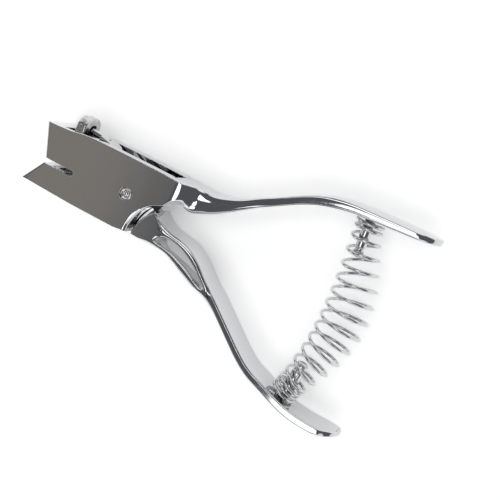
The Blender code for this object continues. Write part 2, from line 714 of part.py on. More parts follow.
def close_wound_share(turn):
    """1 where the spring is close wound at its ends, 0 where it is open, and a ramp between."""
    above = CLOSE_TURNS_ABOVE + 0.5 - turn
    below = turn - (COIL_TURNS - CLOSE_TURNS_BELOW - 0.5)
    return min(1, max(0, above, below))


def coil_points(upper, lower):
    place, length = coil_line(upper, lower)
    count = round(COIL_TURNS * POINTS_PER_TURN)
    turns = [COIL_TURNS * i / count for i in range(count + 1)]
    close = [close_wound_share((a + b) / 2) for a, b in zip(turns, turns[1:])]
    step = COIL_TURNS / count
    open_pitch = (length - CLOSE_PITCH * step * sum(close)) / (step * (count - sum(close)))
    points, travelled = [], 0
    nudge = step / (2 * COIL_TURNS)
    for i, turn in enumerate(turns):
        share = min(1, travelled / length)
        line = (place(min(1, share + nudge)) - place(max(0, share - nudge))).normalized()
        out = line.cross(Vector((0, 0, 1)))
        swell = math.sin(math.pi * share) ** COIL_SWELL_POWER
        radius = COIL_END_RADIUS + (COIL_MIDDLE_RADIUS - COIL_END_RADIUS) * swell
        angle = math.tau * turn
        points.append(place(share) + radius * (out * math.cos(angle) + Vector((0, 0, math.sin(angle)))))
        if i < count:
            travelled += step * (CLOSE_PITCH * close[i] + open_pitch * (1 - close[i]))
    return points


def least_gap(points):
    """The wire's least distance to another turn of itself, surface to surface."""
    apart = POINTS_PER_TURN // 2
    nearest = math.inf
    middles = [(a + b) / 2 for a, b in zip(points, points[1:])]
    for i, point in enumerate(points):
        for other in points[i + apart :] + middles[i + apart :]:
            nearest = min(nearest, (point - other).length)
    return nearest - 2 * WIRE_RADIUS


def make_spring(pivot, seats, material):
    points = coil_points(*seats)
    curve = bpy.data.curves.new("return_spring", "CURVE")
    curve.dimensions = "3D"
    curve.bevel_depth = WIRE_RADIUS
    curve.bevel_resolution = 1
    curve.use_fill_caps = True
    spline = curve.splines.new("POLY")
    spline.points.add(len(points) - 1)
    for knot, point in zip(spline.points, points):
        knot.co = (*point, 1)
    new_object("return_spring", curve, pivot, material)
    print(f"return_spring: least gap to itself {least_gap(points) / MM:.2f} mm")


def main():
    remove_scene_objects()
    chrome = metal("chrome", CHROME, 0.08)
    steel = metal("steel", STEEL, 0.35)
    pivot = empty_at("pivot_axis", PIVOT)
    punch_axis = empty_at("punch_axis", PIVOT - Vector((PUNCH_AHEAD, 0, 0)))
    seats = upper_seat(UPPER_SEAT_BEHIND), lower_seat(LOWER_SEAT_BEHIND)
    upper = post_place(upper_seat(UPPER_POST_BEHIND), UPPER_POST_LEAN, -1, UPPER_POST_RADIUS)
    lower = post_place(lower_seat(LOWER_POST_BEHIND), LOWER_POST_LEAN, 1, LOWER_POST_RADIUS)
    make_head(pivot, upper, chrome)
    make_lever(pivot, lower, chrome)
    make_punch(punch_axis, steel)
    make_die(punch_axis, steel)
    make_rivet(pivot, chrome)
    make_washers(pivot, steel)
    make_post("upper_spring_post", pivot, upper, UPPER_POST_RADIUS, chrome)
    make_post("lower_spring_post", pivot, lower, LOWER_POST_RADIUS, chrome)
    make_spring(pivot, seats, chrome)
    print(f"punch travel {PUNCH_TRAVEL / MM:.3f} mm, {PUNCH_TRAVEL / LEVER_CLOSES:.5f} m per radian")


main()
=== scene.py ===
# %% [markdown]
# # A card slot punch, polished and plated
#
# This tool is shaped like a pair of pliers. Squeezing its two handles drives a small round-ended
# blade down through a card and into a die. Its body is two zinc or steel castings, polished and
# then plated with nickel and chrome, so nearly all that we see on it is a reflection. That makes
# three things matter here: true curves, edges that are rounded as the real ones are, and a
# studio worth reflecting.
#
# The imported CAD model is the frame. It has the right sizes and joints, so each finer piece below
# is made over the CAD piece that it stands for, and rides on the same moving body.

import math

import bmesh
import bpy
from mathutils import Matrix, Vector
from mathutils.geometry import interpolate_bezier


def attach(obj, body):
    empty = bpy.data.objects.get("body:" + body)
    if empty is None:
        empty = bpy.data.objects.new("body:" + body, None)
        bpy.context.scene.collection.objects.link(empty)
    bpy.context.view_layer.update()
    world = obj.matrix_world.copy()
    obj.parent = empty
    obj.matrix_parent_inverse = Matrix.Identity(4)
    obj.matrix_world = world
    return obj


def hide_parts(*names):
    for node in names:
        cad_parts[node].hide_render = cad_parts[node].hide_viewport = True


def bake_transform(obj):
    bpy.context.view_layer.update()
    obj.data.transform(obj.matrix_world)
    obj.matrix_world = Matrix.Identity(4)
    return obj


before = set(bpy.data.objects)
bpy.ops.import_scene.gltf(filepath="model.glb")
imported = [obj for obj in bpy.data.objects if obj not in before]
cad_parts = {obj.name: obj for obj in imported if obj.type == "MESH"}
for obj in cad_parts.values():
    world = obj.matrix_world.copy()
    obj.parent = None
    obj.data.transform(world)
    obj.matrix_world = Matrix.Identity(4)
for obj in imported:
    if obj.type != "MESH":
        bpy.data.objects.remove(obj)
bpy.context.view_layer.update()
MM = 0.001

# %% [markdown]
# ## Camera
#
# The tool was photographed from close by, about 34 cm away, which is why its jaws look larger
# than its far handle. A camera close to the object with a 65 mm lens gives the same drawing. A
# camera looks along its own -Z, so its matrix has the picture's right, the picture's up and the
# way back from the object as its first three columns.

# %% Stand the camera where the photograph was taken from
camera = bpy.data.objects.new("camera", bpy.data.cameras.new("camera"))
bpy.context.collection.objects.link(camera)
picture_right = Vector((0.8622, 0.4109, -0.2962)).normalized()
picture_up = Vector((-0.4502, 0.8897, -0.0762)).normalized()
way_back = picture_right.cross(picture_up).normalized()
picture_up = way_back.cross(picture_right)
turn = Matrix((picture_right, picture_up, way_back)).transposed().to_4x4()
camera_place = Vector((137.4, 66.2, 323.7))
pivot_place = Vector((12, 0, 10.5)) * MM
camera.matrix_world = Matrix.Translation(camera_place * MM) @ turn
camera.data.lens = 64.8
camera.data.sensor_width = 36
bpy.context.scene.camera = camera
print(f"camera {(camera.location - pivot_place).length / MM:.0f} mm from the pivot")

# %% [markdown]
# ## Floor and world
#
# Plated metal is a mirror, so the room is half of the finish. In the picture the flat cheek is an
# even slate grey while the paper round it is white, so overhead there must be something dark,
# with bright panels beside it. The studio here has a pale floor that glows a little, white walls
# low down, a slate drape over the top and soft-edged bright panels in the drape. The panels are
# what draw the white streaks on the handles and the neck. All of it is painted on the world by
# direction, so that nothing stands in the way when the camera goes round the tool, and the world
# itself is the soft light. No lamp is needed.
#
# The world and every material are built from nodes, so three helpers come first: they fill a
# node's sockets, add a node with its settings, and add a Math node.

# %% Helpers that add shader nodes
def fill(tree, node, sockets):
    """Sets a node's input sockets, each to a value or to the output of an earlier node."""
    for name, value in sockets.items():
        if isinstance(value, bpy.types.NodeSocket):
            tree.links.new(value, node.inputs[name])
        else:
            node.inputs[name].default_value = value


def add(tree, kind, sockets=None, **settings):
    """A new shader node with its settings and sockets."""
    node = tree.nodes.new("ShaderNode" + kind)
    for name, value in settings.items():
        setattr(node, name, value)
    fill(tree, node, sockets or {})
    return node


def calculate(tree, operation, *values):
    """The result of a Math node."""
    return add(tree, "Math", dict(enumerate(values)), operation=operation).outputs[0]


# %% [markdown]
# The floor is a large sheet of paper, a hair under the cheek that the tool rests on. It has a
# little glow for the rays that look at it, in the picture or in the metal, so that the paper goes
# white and the tool's own shadow stays on it. Close under the tool the glow fades, because the
# Ambient Occlusion node tells it how much is in the way: that fade is a painted contact shadow,
# which the camera sees and the metal reflects.

# %% Make the floor
floor_drop = 0.1 * MM
paper_glow = 0.62
# How far the painted contact shadow reaches out from the tool.
painted_shadow_reach = 0.011
bpy.ops.object.select_all(action="DESELECT")
bpy.ops.mesh.primitive_plane_add(size=6, location=(0, 0, -floor_drop))
floor = bpy.context.active_object
floor.name = "studio_floor"
bpy.ops.object.transform_apply()

floor_paint = bpy.data.materials.new("studio_floor_paint")
floor_paint.use_nodes = True
tree = floor_paint.node_tree
place = add(tree, "TexCoord").outputs["Object"]
mottle = add(tree, "TexNoise", {"Vector": place, "Scale": 3})
tone = add(tree, "ValToRGB", {"Fac": mottle.outputs["Fac"]})
tone.color_ramp.elements[0].color = (0.88, 0.88, 0.88, 1)
tone.color_ramp.elements[1].color = (0.91, 0.91, 0.91, 1)
ray = add(tree, "LightPath").outputs
seen = calculate(tree, "MAXIMUM", ray["Is Camera Ray"], ray["Is Glossy Ray"])
seen = calculate(tree, "MAXIMUM", seen, ray["Is Transmission Ray"])
glow = calculate(tree, "MULTIPLY", seen, paper_glow)
# Painted contact shadow: Ambient Occlusion dims the floor's glow close under the tool.
near = add(tree, "AmbientOcclusion", {"Distance": painted_shadow_reach}).outputs["AO"]
painted_contact_shadow = add(tree, "MapRange", {"Value": near, "From Min": 0.2, "To Min": 0.45})
glow = calculate(tree, "MULTIPLY", glow, painted_contact_shadow.outputs["Result"])
paper = {"Base Color": tone.outputs["Color"], "Roughness": 0.6, "Specular IOR Level": 0.2}
paper |= {"Emission Color": (1, 1, 1, 1), "Emission Strength": glow}
fill(tree, tree.nodes["Principled BSDF"], paper)
floor.data.materials.append(floor_paint)
print("floor", floor.name)

# %% [markdown]
# A zone is drawn with one dot product. The dot product of two directions is the cosine of the
# angle between them, so a Map Range from the cosine of a wide angle to the cosine of a narrow
# one gives a soft-edged disc on the sky. Most zones are bright panels. One is a warm grey, for
# the long side of the cheek that the picture shows warmer, and one small one is nearly black,
# for the hole that the camera looks through. Where a row of discs overlaps, they make one long
# panel. The walls stay white up to 12 degrees, so that a low view has a white background too.

# %% Paint the studio on the world
world = bpy.data.worlds.new("white_tent")
bpy.context.scene.world = world
world.use_nodes = True
sky_tree = world.node_tree
direction = add(sky_tree, "TexCoord").outputs["Generated"]


def soft_step(value, low, high):
    """0 below the low value, 1 above the high one, and smooth between them."""
    sockets = {"Value": value, "From Min": low, "From Max": high}
    node = add(sky_tree, "MapRange", sockets, interpolation_type="SMOOTHSTEP")
    return node.outputs["Result"]


def zone_mask(towards, inner, outer):
    """1 inside the inner angle from a direction, 0 past the outer one, both in degrees."""
    ends = {0: direction, 1: Vector(towards).normalized()}
    dot = add(sky_tree, "VectorMath", ends, operation="DOT_PRODUCT")
    low, high = math.cos(math.radians(outer)), math.cos(math.radians(inner))
    return soft_step(dot.outputs["Value"], low, high)


def lay_over(under, mask, colour):
    """The colour laid over what is under it, where the mask is 1."""
    layers = {"Factor": mask, "A": under, "B": (*colour, 1)}
    return add(sky_tree, "Mix", layers, data_type="RGBA").outputs["Result"]


# The walls are white up to 12 degrees, and the slate drape begins at 18.
height = add(sky_tree, "SeparateXYZ", {0: direction}).outputs["Z"]
drape = soft_step(height, math.sin(math.radians(12)), math.sin(math.radians(18)))

# direction, full inside and gone outside in degrees, colour
studio_zones = (
    ((0.0, 0.88, 0.48), 13, 22, (1.3, 1.3, 1.3)),
    ((-0.3, -0.9, 0.35), 12, 20, (1.2, 1.2, 1.2)),
    ((0.45, -0.62, 0.64), 17, 20, (1.28, 1.28, 1.28)),
    ((0.12, -0.42, 0.9), 9, 10, (1.8, 1.8, 1.8)),
    ((-0.92, -0.25, 0.24), 17, 19, (1.05, 1.05, 1.05)),
    ((-0.72, 0.6, 0.35), 20, 23, (1.1, 1.1, 1.1)),
    ((-0.6, -0.18, 0.775), 12, 20, (0.28, 0.263, 0.24)),
    ((-0.8, -0.22, 0.55), 4, 6, (0.02, 0.02, 0.02)),
    ((-0.06, -0.13, 0.99), 6, 6.6, (2.4, 2.4, 2.4)),
    ((0.08, -0.2, 0.975), 6, 7, (2.4, 2.4, 2.4)),
    ((-0.075, -0.345, 0.94), 3.5, 4.2, (2.4, 2.4, 2.4)),
    ((-0.30, 0.17, 0.94), 5, 6, (2.6, 2.6, 2.6)),
    ((-0.20, 0.17, 0.96), 6, 7, (2.6, 2.6, 2.6)),
    ((-0.10, 0.18, 0.97), 6, 7, (2.6, 2.6, 2.6)),
)
sky = lay_over((1, 1, 1, 1), drape, (0.115, 0.12, 0.13))
for towards, inner, outer, colour in studio_zones:
    sky = lay_over(sky, zone_mask(towards, inner, outer), colour)
fill(sky_tree, sky_tree.nodes["Background"], {"Color": sky, "Strength": 1})
bpy.context.scene.view_settings.view_transform = "Standard"
print("zones in the studio's drape", len(studio_zones))

# %% [markdown]
# ## Hand tools
#
# Every piece is shaped in edit mode, where an operator acts on whatever is selected. These few
# helpers do what a hand does between two operators: open a mesh, pick some vertices, edges or
# faces by where they are, and close it again. Two more keep the order of a joiner's shop: a
# cutter or a second block is used up by the Boolean that it was made for.

# %% Open a mesh, pick parts of it, close it
def select_only(obj):
    bpy.ops.object.select_all(action="DESELECT")
    obj.select_set(True)
    bpy.context.view_layer.objects.active = obj


def open_mesh(obj):
    select_only(obj)
    bpy.ops.object.mode_set(mode="EDIT")
    bpy.ops.mesh.select_all(action="DESELECT")


def close_mesh():
    bpy.ops.object.mode_set(mode="OBJECT")


def close_facing_out():
    """Turns every face outwards, then closes the mesh."""
    bpy.ops.mesh.select_all(action="SELECT")
    bpy.ops.mesh.normals_make_consistent(inside=False)
    close_mesh()


def pick(obj, kind, wanted):
    """Selects the VERT, EDGE or FACE parts that pass the test, and nothing else."""
    bpy.ops.mesh.select_mode(type=kind)
    bpy.ops.mesh.select_all(action="DESELECT")
    shape = bmesh.from_edit_mesh(obj.data)
    parts = {"VERT": shape.verts, "EDGE": shape.edges, "FACE": shape.faces}[kind]
    found = [part for part in parts if wanted(part)]
    for part in found:
        part.select_set(True)
    shape.select_flush_mode()
    bmesh.update_edit_mesh(obj.data)
    return len(found)


def finish_with(obj, kind, **settings):
    """Adds a modifier, gives it its settings and applies it."""
    select_only(obj)
    modifier = obj.modifiers.new(kind.lower(), kind)
    for name, value in settings.items():
        setattr(modifier, name, value)
    bpy.ops.object.modifier_apply(modifier=modifier.name)


def bevel_picked(obj, wanted, size, **settings):
    """Bevels the edges that pass the test, by a size in mm."""
    open_mesh(obj)
    print(obj.name, "edges bevelled", pick(obj, "EDGE", wanted))
    bpy.ops.mesh.bevel(offset=size * MM, **settings)
    close_mesh()


def middle_of(edge):
    """The middle of an edge in mm."""
    return (edge.verts[0].co + edge.verts[1].co) / MM / 2


def round_edges(obj, most, size_of):
    """Bevels each sharp edge by its own size in mm. size_of gets the edge's two ends in mm."""
    sharp = math.radians(20)
    open_mesh(obj)
    shape = bmesh.from_edit_mesh(obj.data)
    weight = shape.edges.layers.float.new("bevel_weight_edge")
    for edge in shape.edges:
        if len(edge.link_faces) == 2 and edge.calc_face_angle() > sharp:
            edge[weight] = size_of(*(vertex.co / MM for vertex in edge.verts)) / most
    bmesh.update_edit_mesh(obj.data)
    close_mesh()
    settings = {"limit_method": "WEIGHT", "use_clamp_overlap": False, "segments": 5}
    finish_with(obj, "BEVEL", width=most * MM, **settings)


def settle(obj, matrix):
    """Gives an object its place, and writes that place into its mesh."""
    obj.matrix_world = matrix
    select_only(obj)
    bpy.ops.object.transform_apply()


def cut_away(obj, cutter):
    finish_with(obj, "BOOLEAN", operation="DIFFERENCE", object=cutter)
    bpy.data.objects.remove(cutter)


def weld_on(obj, other):
    finish_with(obj, "BOOLEAN", operation="UNION", object=other)
    bpy.data.objects.remove(other)


# %% [markdown]
# The castings are drawn as outlines. A smooth line through a few measured points gives their
# curves, and a filled circle with as many vertices as the outline has points becomes the
# outline's face: each vertex is moved to its place, and the face is extruded into a plate.
# The outlines count from the pivot, and the whole piece is moved to the pivot's place last.

# %% Draw smooth lines and cut plates
def smooth_line(points, steps):
    """Points along a curve that passes through the given ones."""
    points = [Vector(point) for point in points]
    before = [2 * points[0] - points[1]] + points[:-1]
    after = points[1:] + [2 * points[-1] - points[-2]]
    lean = [(b - a) / 6 for a, b in zip(before, after)]
    line = [points[0]]
    for i in range(len(points) - 1):
        start, end = points[i], points[i + 1]
        line += interpolate_bezier(start, start + lean[i], end - lean[i + 1], end, steps + 1)[1:]
    return [(point.x, point.y) for point in line]


def arc(centre, radius, start, end, steps):
    """Points on a circle, from one angle to another in degrees."""
    angles = [math.radians(start + (end - start) * i / steps) for i in range(steps + 1)]
    return [(centre[0] + radius * math.cos(a), centre[1] + radius * math.sin(a)) for a in angles]


def ring_of(name, places, fill_type="NGON"):
    """A circle with one vertex for each place, moved there. It is left open, all selected."""
    bpy.ops.object.select_all(action="DESELECT")
    circle = {"vertices": len(places), "radius": 10 * MM, "fill_type": fill_type}
    bpy.ops.mesh.primitive_circle_add(**circle)
    obj = bpy.context.active_object
    obj.name = name
    for vertex, place in zip(obj.data.vertices, places):
        vertex.co = place
    open_mesh(obj)
    bpy.ops.mesh.select_all(action="SELECT")
    return obj


def plate(name, outline, low, high):
    """A plate cut to an outline of (x, y) in mm, from one height z to another."""
    obj = ring_of(name, [(x * MM, y * MM, low * MM) for x, y in outline])
    rise = (0, 0, (high - low) * MM)
    bpy.ops.mesh.extrude_region_move(TRANSFORM_OT_translate={"value": rise})
    close_facing_out()
    return obj


def stand_at_pivot(obj):
    """Moves a piece drawn about the pivot to the pivot's place."""
    settle(obj, Matrix.Translation(pivot_place))


# %% [markdown]
# ## The head and its handle
#
# The head is one casting with the upper handle. Its cheeks are ground flat and its outline is
# crisp, so it starts as a plate. Three kinds of edge matter. The jaws' front edges are cut back
# by more than 2 mm, the hollow under its rear has a full round, and all other edges are only
# just broken. One Bevel modifier makes all three, because each edge has a weight of its own.

# %% Cut the head's plate
cheek = 10.5  # half of the head's width
past = 12  # a cutter's half height, past both cheeks
hollow_centre, hollow_radius = (23.3, -12.6), 18
nose_top = (-40.2, 11.1)
head_top = ((-36.6, 11.27), (-30.2, 11.7), (-22.9, 12.8), (-14.5, 13.05), (6.8, 13.2), (15, 13.05))
chin = (-42.1, -12.9)
mouth_x = -35.7
throat_roof, throat_floor = -1.9, -3.9
head_outline = [nose_top, *smooth_line(head_top, 8), (15.2, 2.4)]
head_outline += arc(hollow_centre, hollow_radius, 134, 181, 30)
head_outline += [(0, -13.6), (-19.1, -13.6), chin, (mouth_x, throat_floor), (mouth_x, throat_roof)]
head = plate("head_and_handle_casting", head_outline, -cheek, cheek)
print("head plate", len(head.data.polygons), "faces")

# %% [markdown]
# The openings come before the rounding, so that their rims are broken in the same pass. Between
# the cheeks runs the slot for the lever's arm, wider at the front, where the punch's saddle
# slides. The throat takes the card, and below it are the die's seat and the chute for what is
# punched out. Each opening is a plate of its own, taken away from the casting with a Boolean.

# %% Cut the slots, the throat and the holes
def round_ended(length, width):
    """A slot's outline about the origin, long along its first axis."""
    reach = (length - width) / 2
    right = arc((reach, 0), width / 2, -90, 90, 12)
    return right + arc((-reach, 0), width / 2, 90, 270, 12)


def rounded_box(length, width, radius):
    x, y = length / 2 - radius, width / 2 - radius
    line = []
    for i, (side, rise) in enumerate(((1, 1), (-1, 1), (-1, -1), (1, -1))):
        line += arc((side * x, rise * y), radius, 90 * i, 90 * i + 90, 6)
    return line


def upright(obj, x):
    """Turns a plate drawn in (z, x) so that its thickness runs along Y, and moves it to x."""
    settle(obj, Matrix(((0, 1, 0, x * MM), (0, 0, 1, 0), (1, 0, 0, 0), (0, 0, 0, 1))))
    open_mesh(obj)
    close_facing_out()
    return obj


punch_x = -29
pocket_floor = 3.6
slot_half, pocket_half = 5.3, 7.3
above_head = 15
bore_radius, seat_radius, seat_floor = 2, 2.5, 9.3
arm_slot = [(-26.8, above_head), (-26.8, pocket_floor), (-17.6, 1.3), (-9.2, -5.7), (-3.1, -9)]
arm_slot += [(3.4, -10.3), (13.9, -10.3), (13.9, above_head)]
cut_away(head, plate("arm_slot", arm_slot, -slot_half, slot_half))
pocket = [(-34.1, above_head), (-34.1, pocket_floor), (-24.6, pocket_floor), (-24.6, above_head)]
cut_away(head, plate("punch_pocket", pocket, -pocket_half, pocket_half))
cut_away(head, upright(plate("punch_guide", round_ended(14.6, 3.6), -2.9, 5), punch_x))
cut_away(head, upright(plate("die_seat", rounded_box(17.9, 6.9, 1.3), -15, -2.9), punch_x))
throat = [(-37.5, throat_roof), (-37.5, throat_floor), *arc((-23.6, -2.9), 1, -90, 90, 12)]
cut_away(head, plate("throat", throat, -past, past))
seat_circle, bore_circle = [arc((0, 0), size, 0, 354, 59) for size in (seat_radius, bore_radius)]
for side in (1, -1):
    cut_away(head, plate("rivet_seat", seat_circle, seat_floor * side, past * side))
cut_away(head, plate("rivet_bore", bore_circle, -past, past))
print("head with its openings", len(head.data.polygons), "faces")

# %% [markdown]
# One Bevel now goes round every edge that a polisher would reach. Each edge gets its own size
# as a weight, and an edge with no weight is left alone.

# %% Round the head's edges
jaw_round, hollow_round, plain_round = 2.2, 1.6, 0.35


def head_round(a, b):
    """How much an edge of the head is rounded, in mm, by where it is."""
    middle = (a + b) / 2
    from_hollow = math.dist(middle.xy, hollow_centre)
    on_cheek = abs(abs(a.z) - cheek) < 0.01 and abs(abs(b.z) - cheek) < 0.01
    if not on_cheek or abs(a.z - b.z) > 1:
        # Between the cheeks, only the slots' rims on top are rounded.
        on_slot_rim = middle.y > 10.9 and abs(middle.z) < 7.5 and middle.x > -35
        return 0.3 if on_slot_rim and abs(a.y - b.y) < 0.5 else 0
    if min(a.x, b.x) > 14.9:  # the rear, which the handle's skin covers
        return 0
    if math.hypot(middle.x, middle.y) < 3:  # the rivet's seats
        return 0.12
    if -35.6 < middle.x < -22 and -4 < middle.y < -1.8:  # the throat
        return 0.15
    if max(a.x, b.x) < mouth_x + 0.1 and min(a.y, b.y) < 11:  # the jaws' fronts
        return jaw_round
    if abs(from_hollow - hollow_radius) < 0.1 and middle.y < 1:
        # The hollow's round narrows towards its upper end, where it meets short edges.
        from_end = math.hypot(middle.x - 10.8, middle.y - 0.35)
        return min(hollow_round, plain_round + 0.15 * from_end)
    return plain_round


round_edges(head, jaw_round, head_round)
print("head with round edges", len(head.data.polygons), "faces")

# %% [markdown]
# The handle is a skin over many rings, the way a hull is laid over its frames. Each ring is a
# rounded box: flat or slightly crowned at its sides, and rounder outside, where the palm is, than
# inside. The rings start full width inside the head and draw in to the handle's width over a few
# millimetres, and that draws the soft shoulder behind the cheek. At the tip they close along an
# ellipse. Each ring is extruded from the last one, and its points are then set in place.

# %% Lay the handle's rings
def rounded_ring(x, low, high, half, low_round, high_round, crown):
    """One ring round the handle, in mm, in the plane at x."""
    height = high - low
    middle = (low + high) / 2
    most = min(0.48 * height, 0.96 * half)
    above, below = min(high_round, most), min(low_round, most)
    corners = (
        (half - above, high - above, above, 0),
        (above - half, high - above, above, 90),
        (below - half, low + below, below, 180),
        (half - below, low + below, below, 270),
    )
    line = [arc((z, y), radius, start, start + 90, 6) for z, y, radius, start in corners]
    ring = []
    for i, corner in enumerate(line):
        ring += corner
        (z0, y0), (z1, y1) = corner[-1], line[(i + 1) % 4][0]
        ring += [(z0 + (z1 - z0) * k / 6, y0 + (y1 - y0) * k / 6) for k in range(1, 6)]
    points = []
    for z, y in ring:
        share = (y - middle) / (height / 2)
        bend = (share + 0.35 * min(1, crown)) ** 2
        z -= math.copysign(crown * bend * abs(z) / half, z)
        points.append(Vector((x, y, z)) * MM)
    return points


def skin_over(name, rings):
    """Extrudes a filled ring through all the others."""
    obj = ring_of(name, rings[0])
    for last, ring in zip(rings, rings[1:]):
        bpy.ops.mesh.extrude_region_move(TRANSFORM_OT_translate={"value": (0, 0, 0)})
        shape = bmesh.from_edit_mesh(obj.data)
        for vertex in [vertex for vertex in shape.verts if vertex.select]:
            nearest = min(range(len(last)), key=lambda i: (last[i] - vertex.co).length_squared)
            vertex.co = ring[nearest]
        bmesh.update_edit_mesh(obj.data)
    close_facing_out()
    return obj


def along(line, x):
    """The values at x on a line of rows that start with their x."""
    for a, b in zip(line, line[1:]):
        if x <= b[0]:
            share = max(0, (x - a[0]) / (b[0] - a[0]))
            return [p + (q - p) * share for p, q in zip(a[1:], b[1:])]
    return line[-1][1:]


def smooth_rows(rows, steps):
    """Rows of x and several values, with each value drawn as a smooth line."""
    columns = list(zip(*rows))
    lines = [smooth_line(list(zip(columns[0], column)), steps) for column in columns[1:]]
    return [[point[0][0], *(x_y[1] for x_y in point)] for point in zip(*lines)]


# x, then the handle's lower and upper edge
upper_edges = (
    (10, 3.4, 13.15),
    (13, 3.0, 13.09),
    (15, 2.9, 13.04),
    (16, 3.6, 13.03),
    (17.2, 4.9, 13.05),
    (18.6, 5.7, 13.1),
    (20.6, 6.0, 13.3),
    (21.9, 4.6, 13.5),
    (23.2, 4.1, 13.65),
    (25.0, 4.05, 13.75),
    (28.05, 5.25, 13.92),
    (32.0, 7.07, 14.55),
    (37.6, 10.42, 16.37),
    (41.8, 13.35, 18.27),
    (46.75, 16.9, 21.04),
    (50.9, 19.35, 23.22),
    (56.1, 22.37, 26.25),
    (61.05, 25.1, 29.02),
    (66.0, 27.28, 31.19),
    (71.5, 28.9, 32.71),
    (77.55, 30.1, 33.67),
    (85.8, 30.77, 34.17),
    (94.05, 31.3, 34.53),
    (101.5, 31.77, 34.73),
    (106.15, 32.16, 34.88),
    (110.0, 32.71, 35.09),
)
# x, half width, lower round, upper round, crown of the sides
upper_sides = (
    (8.0, 10.495, 0.4, 0.35, 0),
    (14.0, 10.495, 0.4, 0.35, 0),
    (16.5, 10.495, 0.5, 0.4, 0),
    (17.5, 10.44, 0.6, 0.5, 0),
    (18.5, 10.25, 0.8, 0.6, 0.05),
    (19.5, 9.94, 1.0, 0.7, 0.12),
    (20.5, 9.5, 1.2, 0.8, 0.25),
    (21.5, 9.0, 1.4, 0.9, 0.4),
    (22.5, 8.5, 1.6, 1.0, 0.5),
    (23.7, 8.0, 1.8, 1.1, 0.6),
    (24.9, 7.7, 1.9, 1.2, 0.65),
    (26.1, 7.6, 2.0, 1.3, 0.7),
    (30.0, 7.6, 1.8, 1.3, 0.7),
    (40.0, 7.6, 1.2, 1.0, 0.5),
    (50.0, 7.6, 0.6, 0.8, 0.1),
    (74.0, 7.6, 0.6, 0.9, 0.1),
    (90.0, 7.6, 0.7, 1.0, 0.15),
    (110.0, 7.6, 0.7, 0.9, 0.15),
)
tip_length, tip_round = 9.5, 0.8
handle_end = 110.0


def tip_shares(x, end):
    """How much of the width and of the edge rounding is left near a handle's end."""
    reach = min(1, max(0, (x - (end - tip_length)) / tip_length))
    width = math.sqrt(max(0, 1 - reach * reach))
    last = min(1, max(0, (x - (end - tip_round)) / tip_round))
    drop = tip_round * (1 - math.sqrt(max(0, 1 - last * last)))
    return width, drop


upper_line = smooth_rows(upper_edges, 6)
side_line = smooth_rows(upper_sides, 6)
skin_start = 14.1  # just behind the arm's slot
stations = [skin_start + 0.4 * i for i in range(40)]
stations += [30 + 1.0 * i for i in range(70)]
stations += [handle_end - tip_length * (1 - math.sin(math.radians(5 * i))) for i in range(18)]
rings = []
for x in stations:
    low, high = along(upper_line, x)
    half, low_round, high_round, crown = along(side_line, x)
    width, drop = tip_shares(x, handle_end)
    half = max(0.2, half * width)
    crown = min(crown, 0.3 * half)
    rings.append(rounded_ring(x, low + drop, high - drop, half, low_round, high_round, crown))
handle = skin_over("upper_handle_skin", rings)
print("handle rings", len(rings), "faces", len(handle.data.polygons))
weld_on(head, handle)
print("head with its handle", len(head.data.polygons), "faces")

# %% [markdown]
# Flat faces next to round ones are shaded with weighted normals, so that the ground cheeks stay
# flat mirrors right up to their edges.

# %% Set the shading
def shade(obj, degrees=35):
    """Smooth shading with sharp creases, and flat faces that stay flat."""
    select_only(obj)
    bpy.ops.object.shade_smooth_by_angle(angle=math.radians(degrees))
    finish_with(obj, "WEIGHTED_NORMAL", keep_sharp=True, weight=100, mode="FACE_AREA_WITH_ANGLE")


shade(head)
stand_at_pivot(head)
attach(head, "head")
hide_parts("head_and_upper_handle")
print("finished head", len(head.data.polygons), "faces")

# %% [markdown]
# ## The lever
#
# The lever is the second casting: the lower handle, a neck with a window in it, a shoulder that
# rolls in the head's hollow, and a narrow arm between the cheeks that ends in a round nose. Its
# sides are ground flat, and its outer edge, where the fingers pull, is much rounder than its
# inner one. That is again a plate whose edges have weights of their own. The tip is cut round
# before the bevel, so that the bevel runs round it as well.

# %% Cut the lever's plate
handle_half = 7.6
shoulder_steps = 24
shoulder = []
for i in range(shoulder_steps + 1):
    turn = math.radians(183 - 47.5 * i / shoulder_steps)
    reach = 17 - 1.2 * i / shoulder_steps
    x, y = hollow_centre
    shoulder.append((x + reach * math.cos(turn), y + reach * math.sin(turn)))
neck_inner = [(14.96, -3.92), (18.15, -5.4), (22, -6.3), (26.4, -6.98), (30.8, -8.42)]
neck_inner += [(35.75, -11.48), (39.6, -14.85)]
neck_outer = [(39.6, -21.24), (35.2, -19.98), (29.04, -17.42), (24.42, -15.12), (20.35, -13.91)]
neck_outer += [(13.64, -13.59), (9.9, -13.59)]
# x, then the handle's outer and inner edge
lower_edges = (
    (42.46, -22.22, -17.12),
    (46.97, -24.75, -20.43),
    (52.25, -28.84, -24.62),
    (57.75, -33.16, -28.94),
    (63.25, -37.32, -33.24),
    (68.75, -40.44, -36.78),
    (74.8, -42.57, -39.07),
    (81.4, -44.81, -41.41),
    (88.0, -46.43, -43.21),
    (94.6, -46.9, -43.91),
    (101.2, -46.5, -43.78),
    (108.02, -44.72, -42.68),
)
lower_end = 108.02
inner_side = smooth_line(neck_inner + [(x, y) for x, _, y in lower_edges], 5)
outer_side = smooth_line([(x, y) for x, y, _ in reversed(lower_edges)] + neck_outer, 5)
lever = plate("lever_casting", shoulder + inner_side + outer_side, -handle_half, handle_half)

window = [(16.5, -11.34), (17.82, -9.23), (21.12, -8.42), (24.75, -8.87), (28.82, -10.22)]
window += [(33, -12.38), (37.4, -15.53), (40.7, -18.45), (39.05, -18.9), (34.1, -16.29)]
window += [(28.82, -14.04), (23.65, -12.47)]
window_line = smooth_line(window[-2:] + window + window[:2], 5)[10:-6]
cut_away(lever, plate("window", window_line, -past, past))


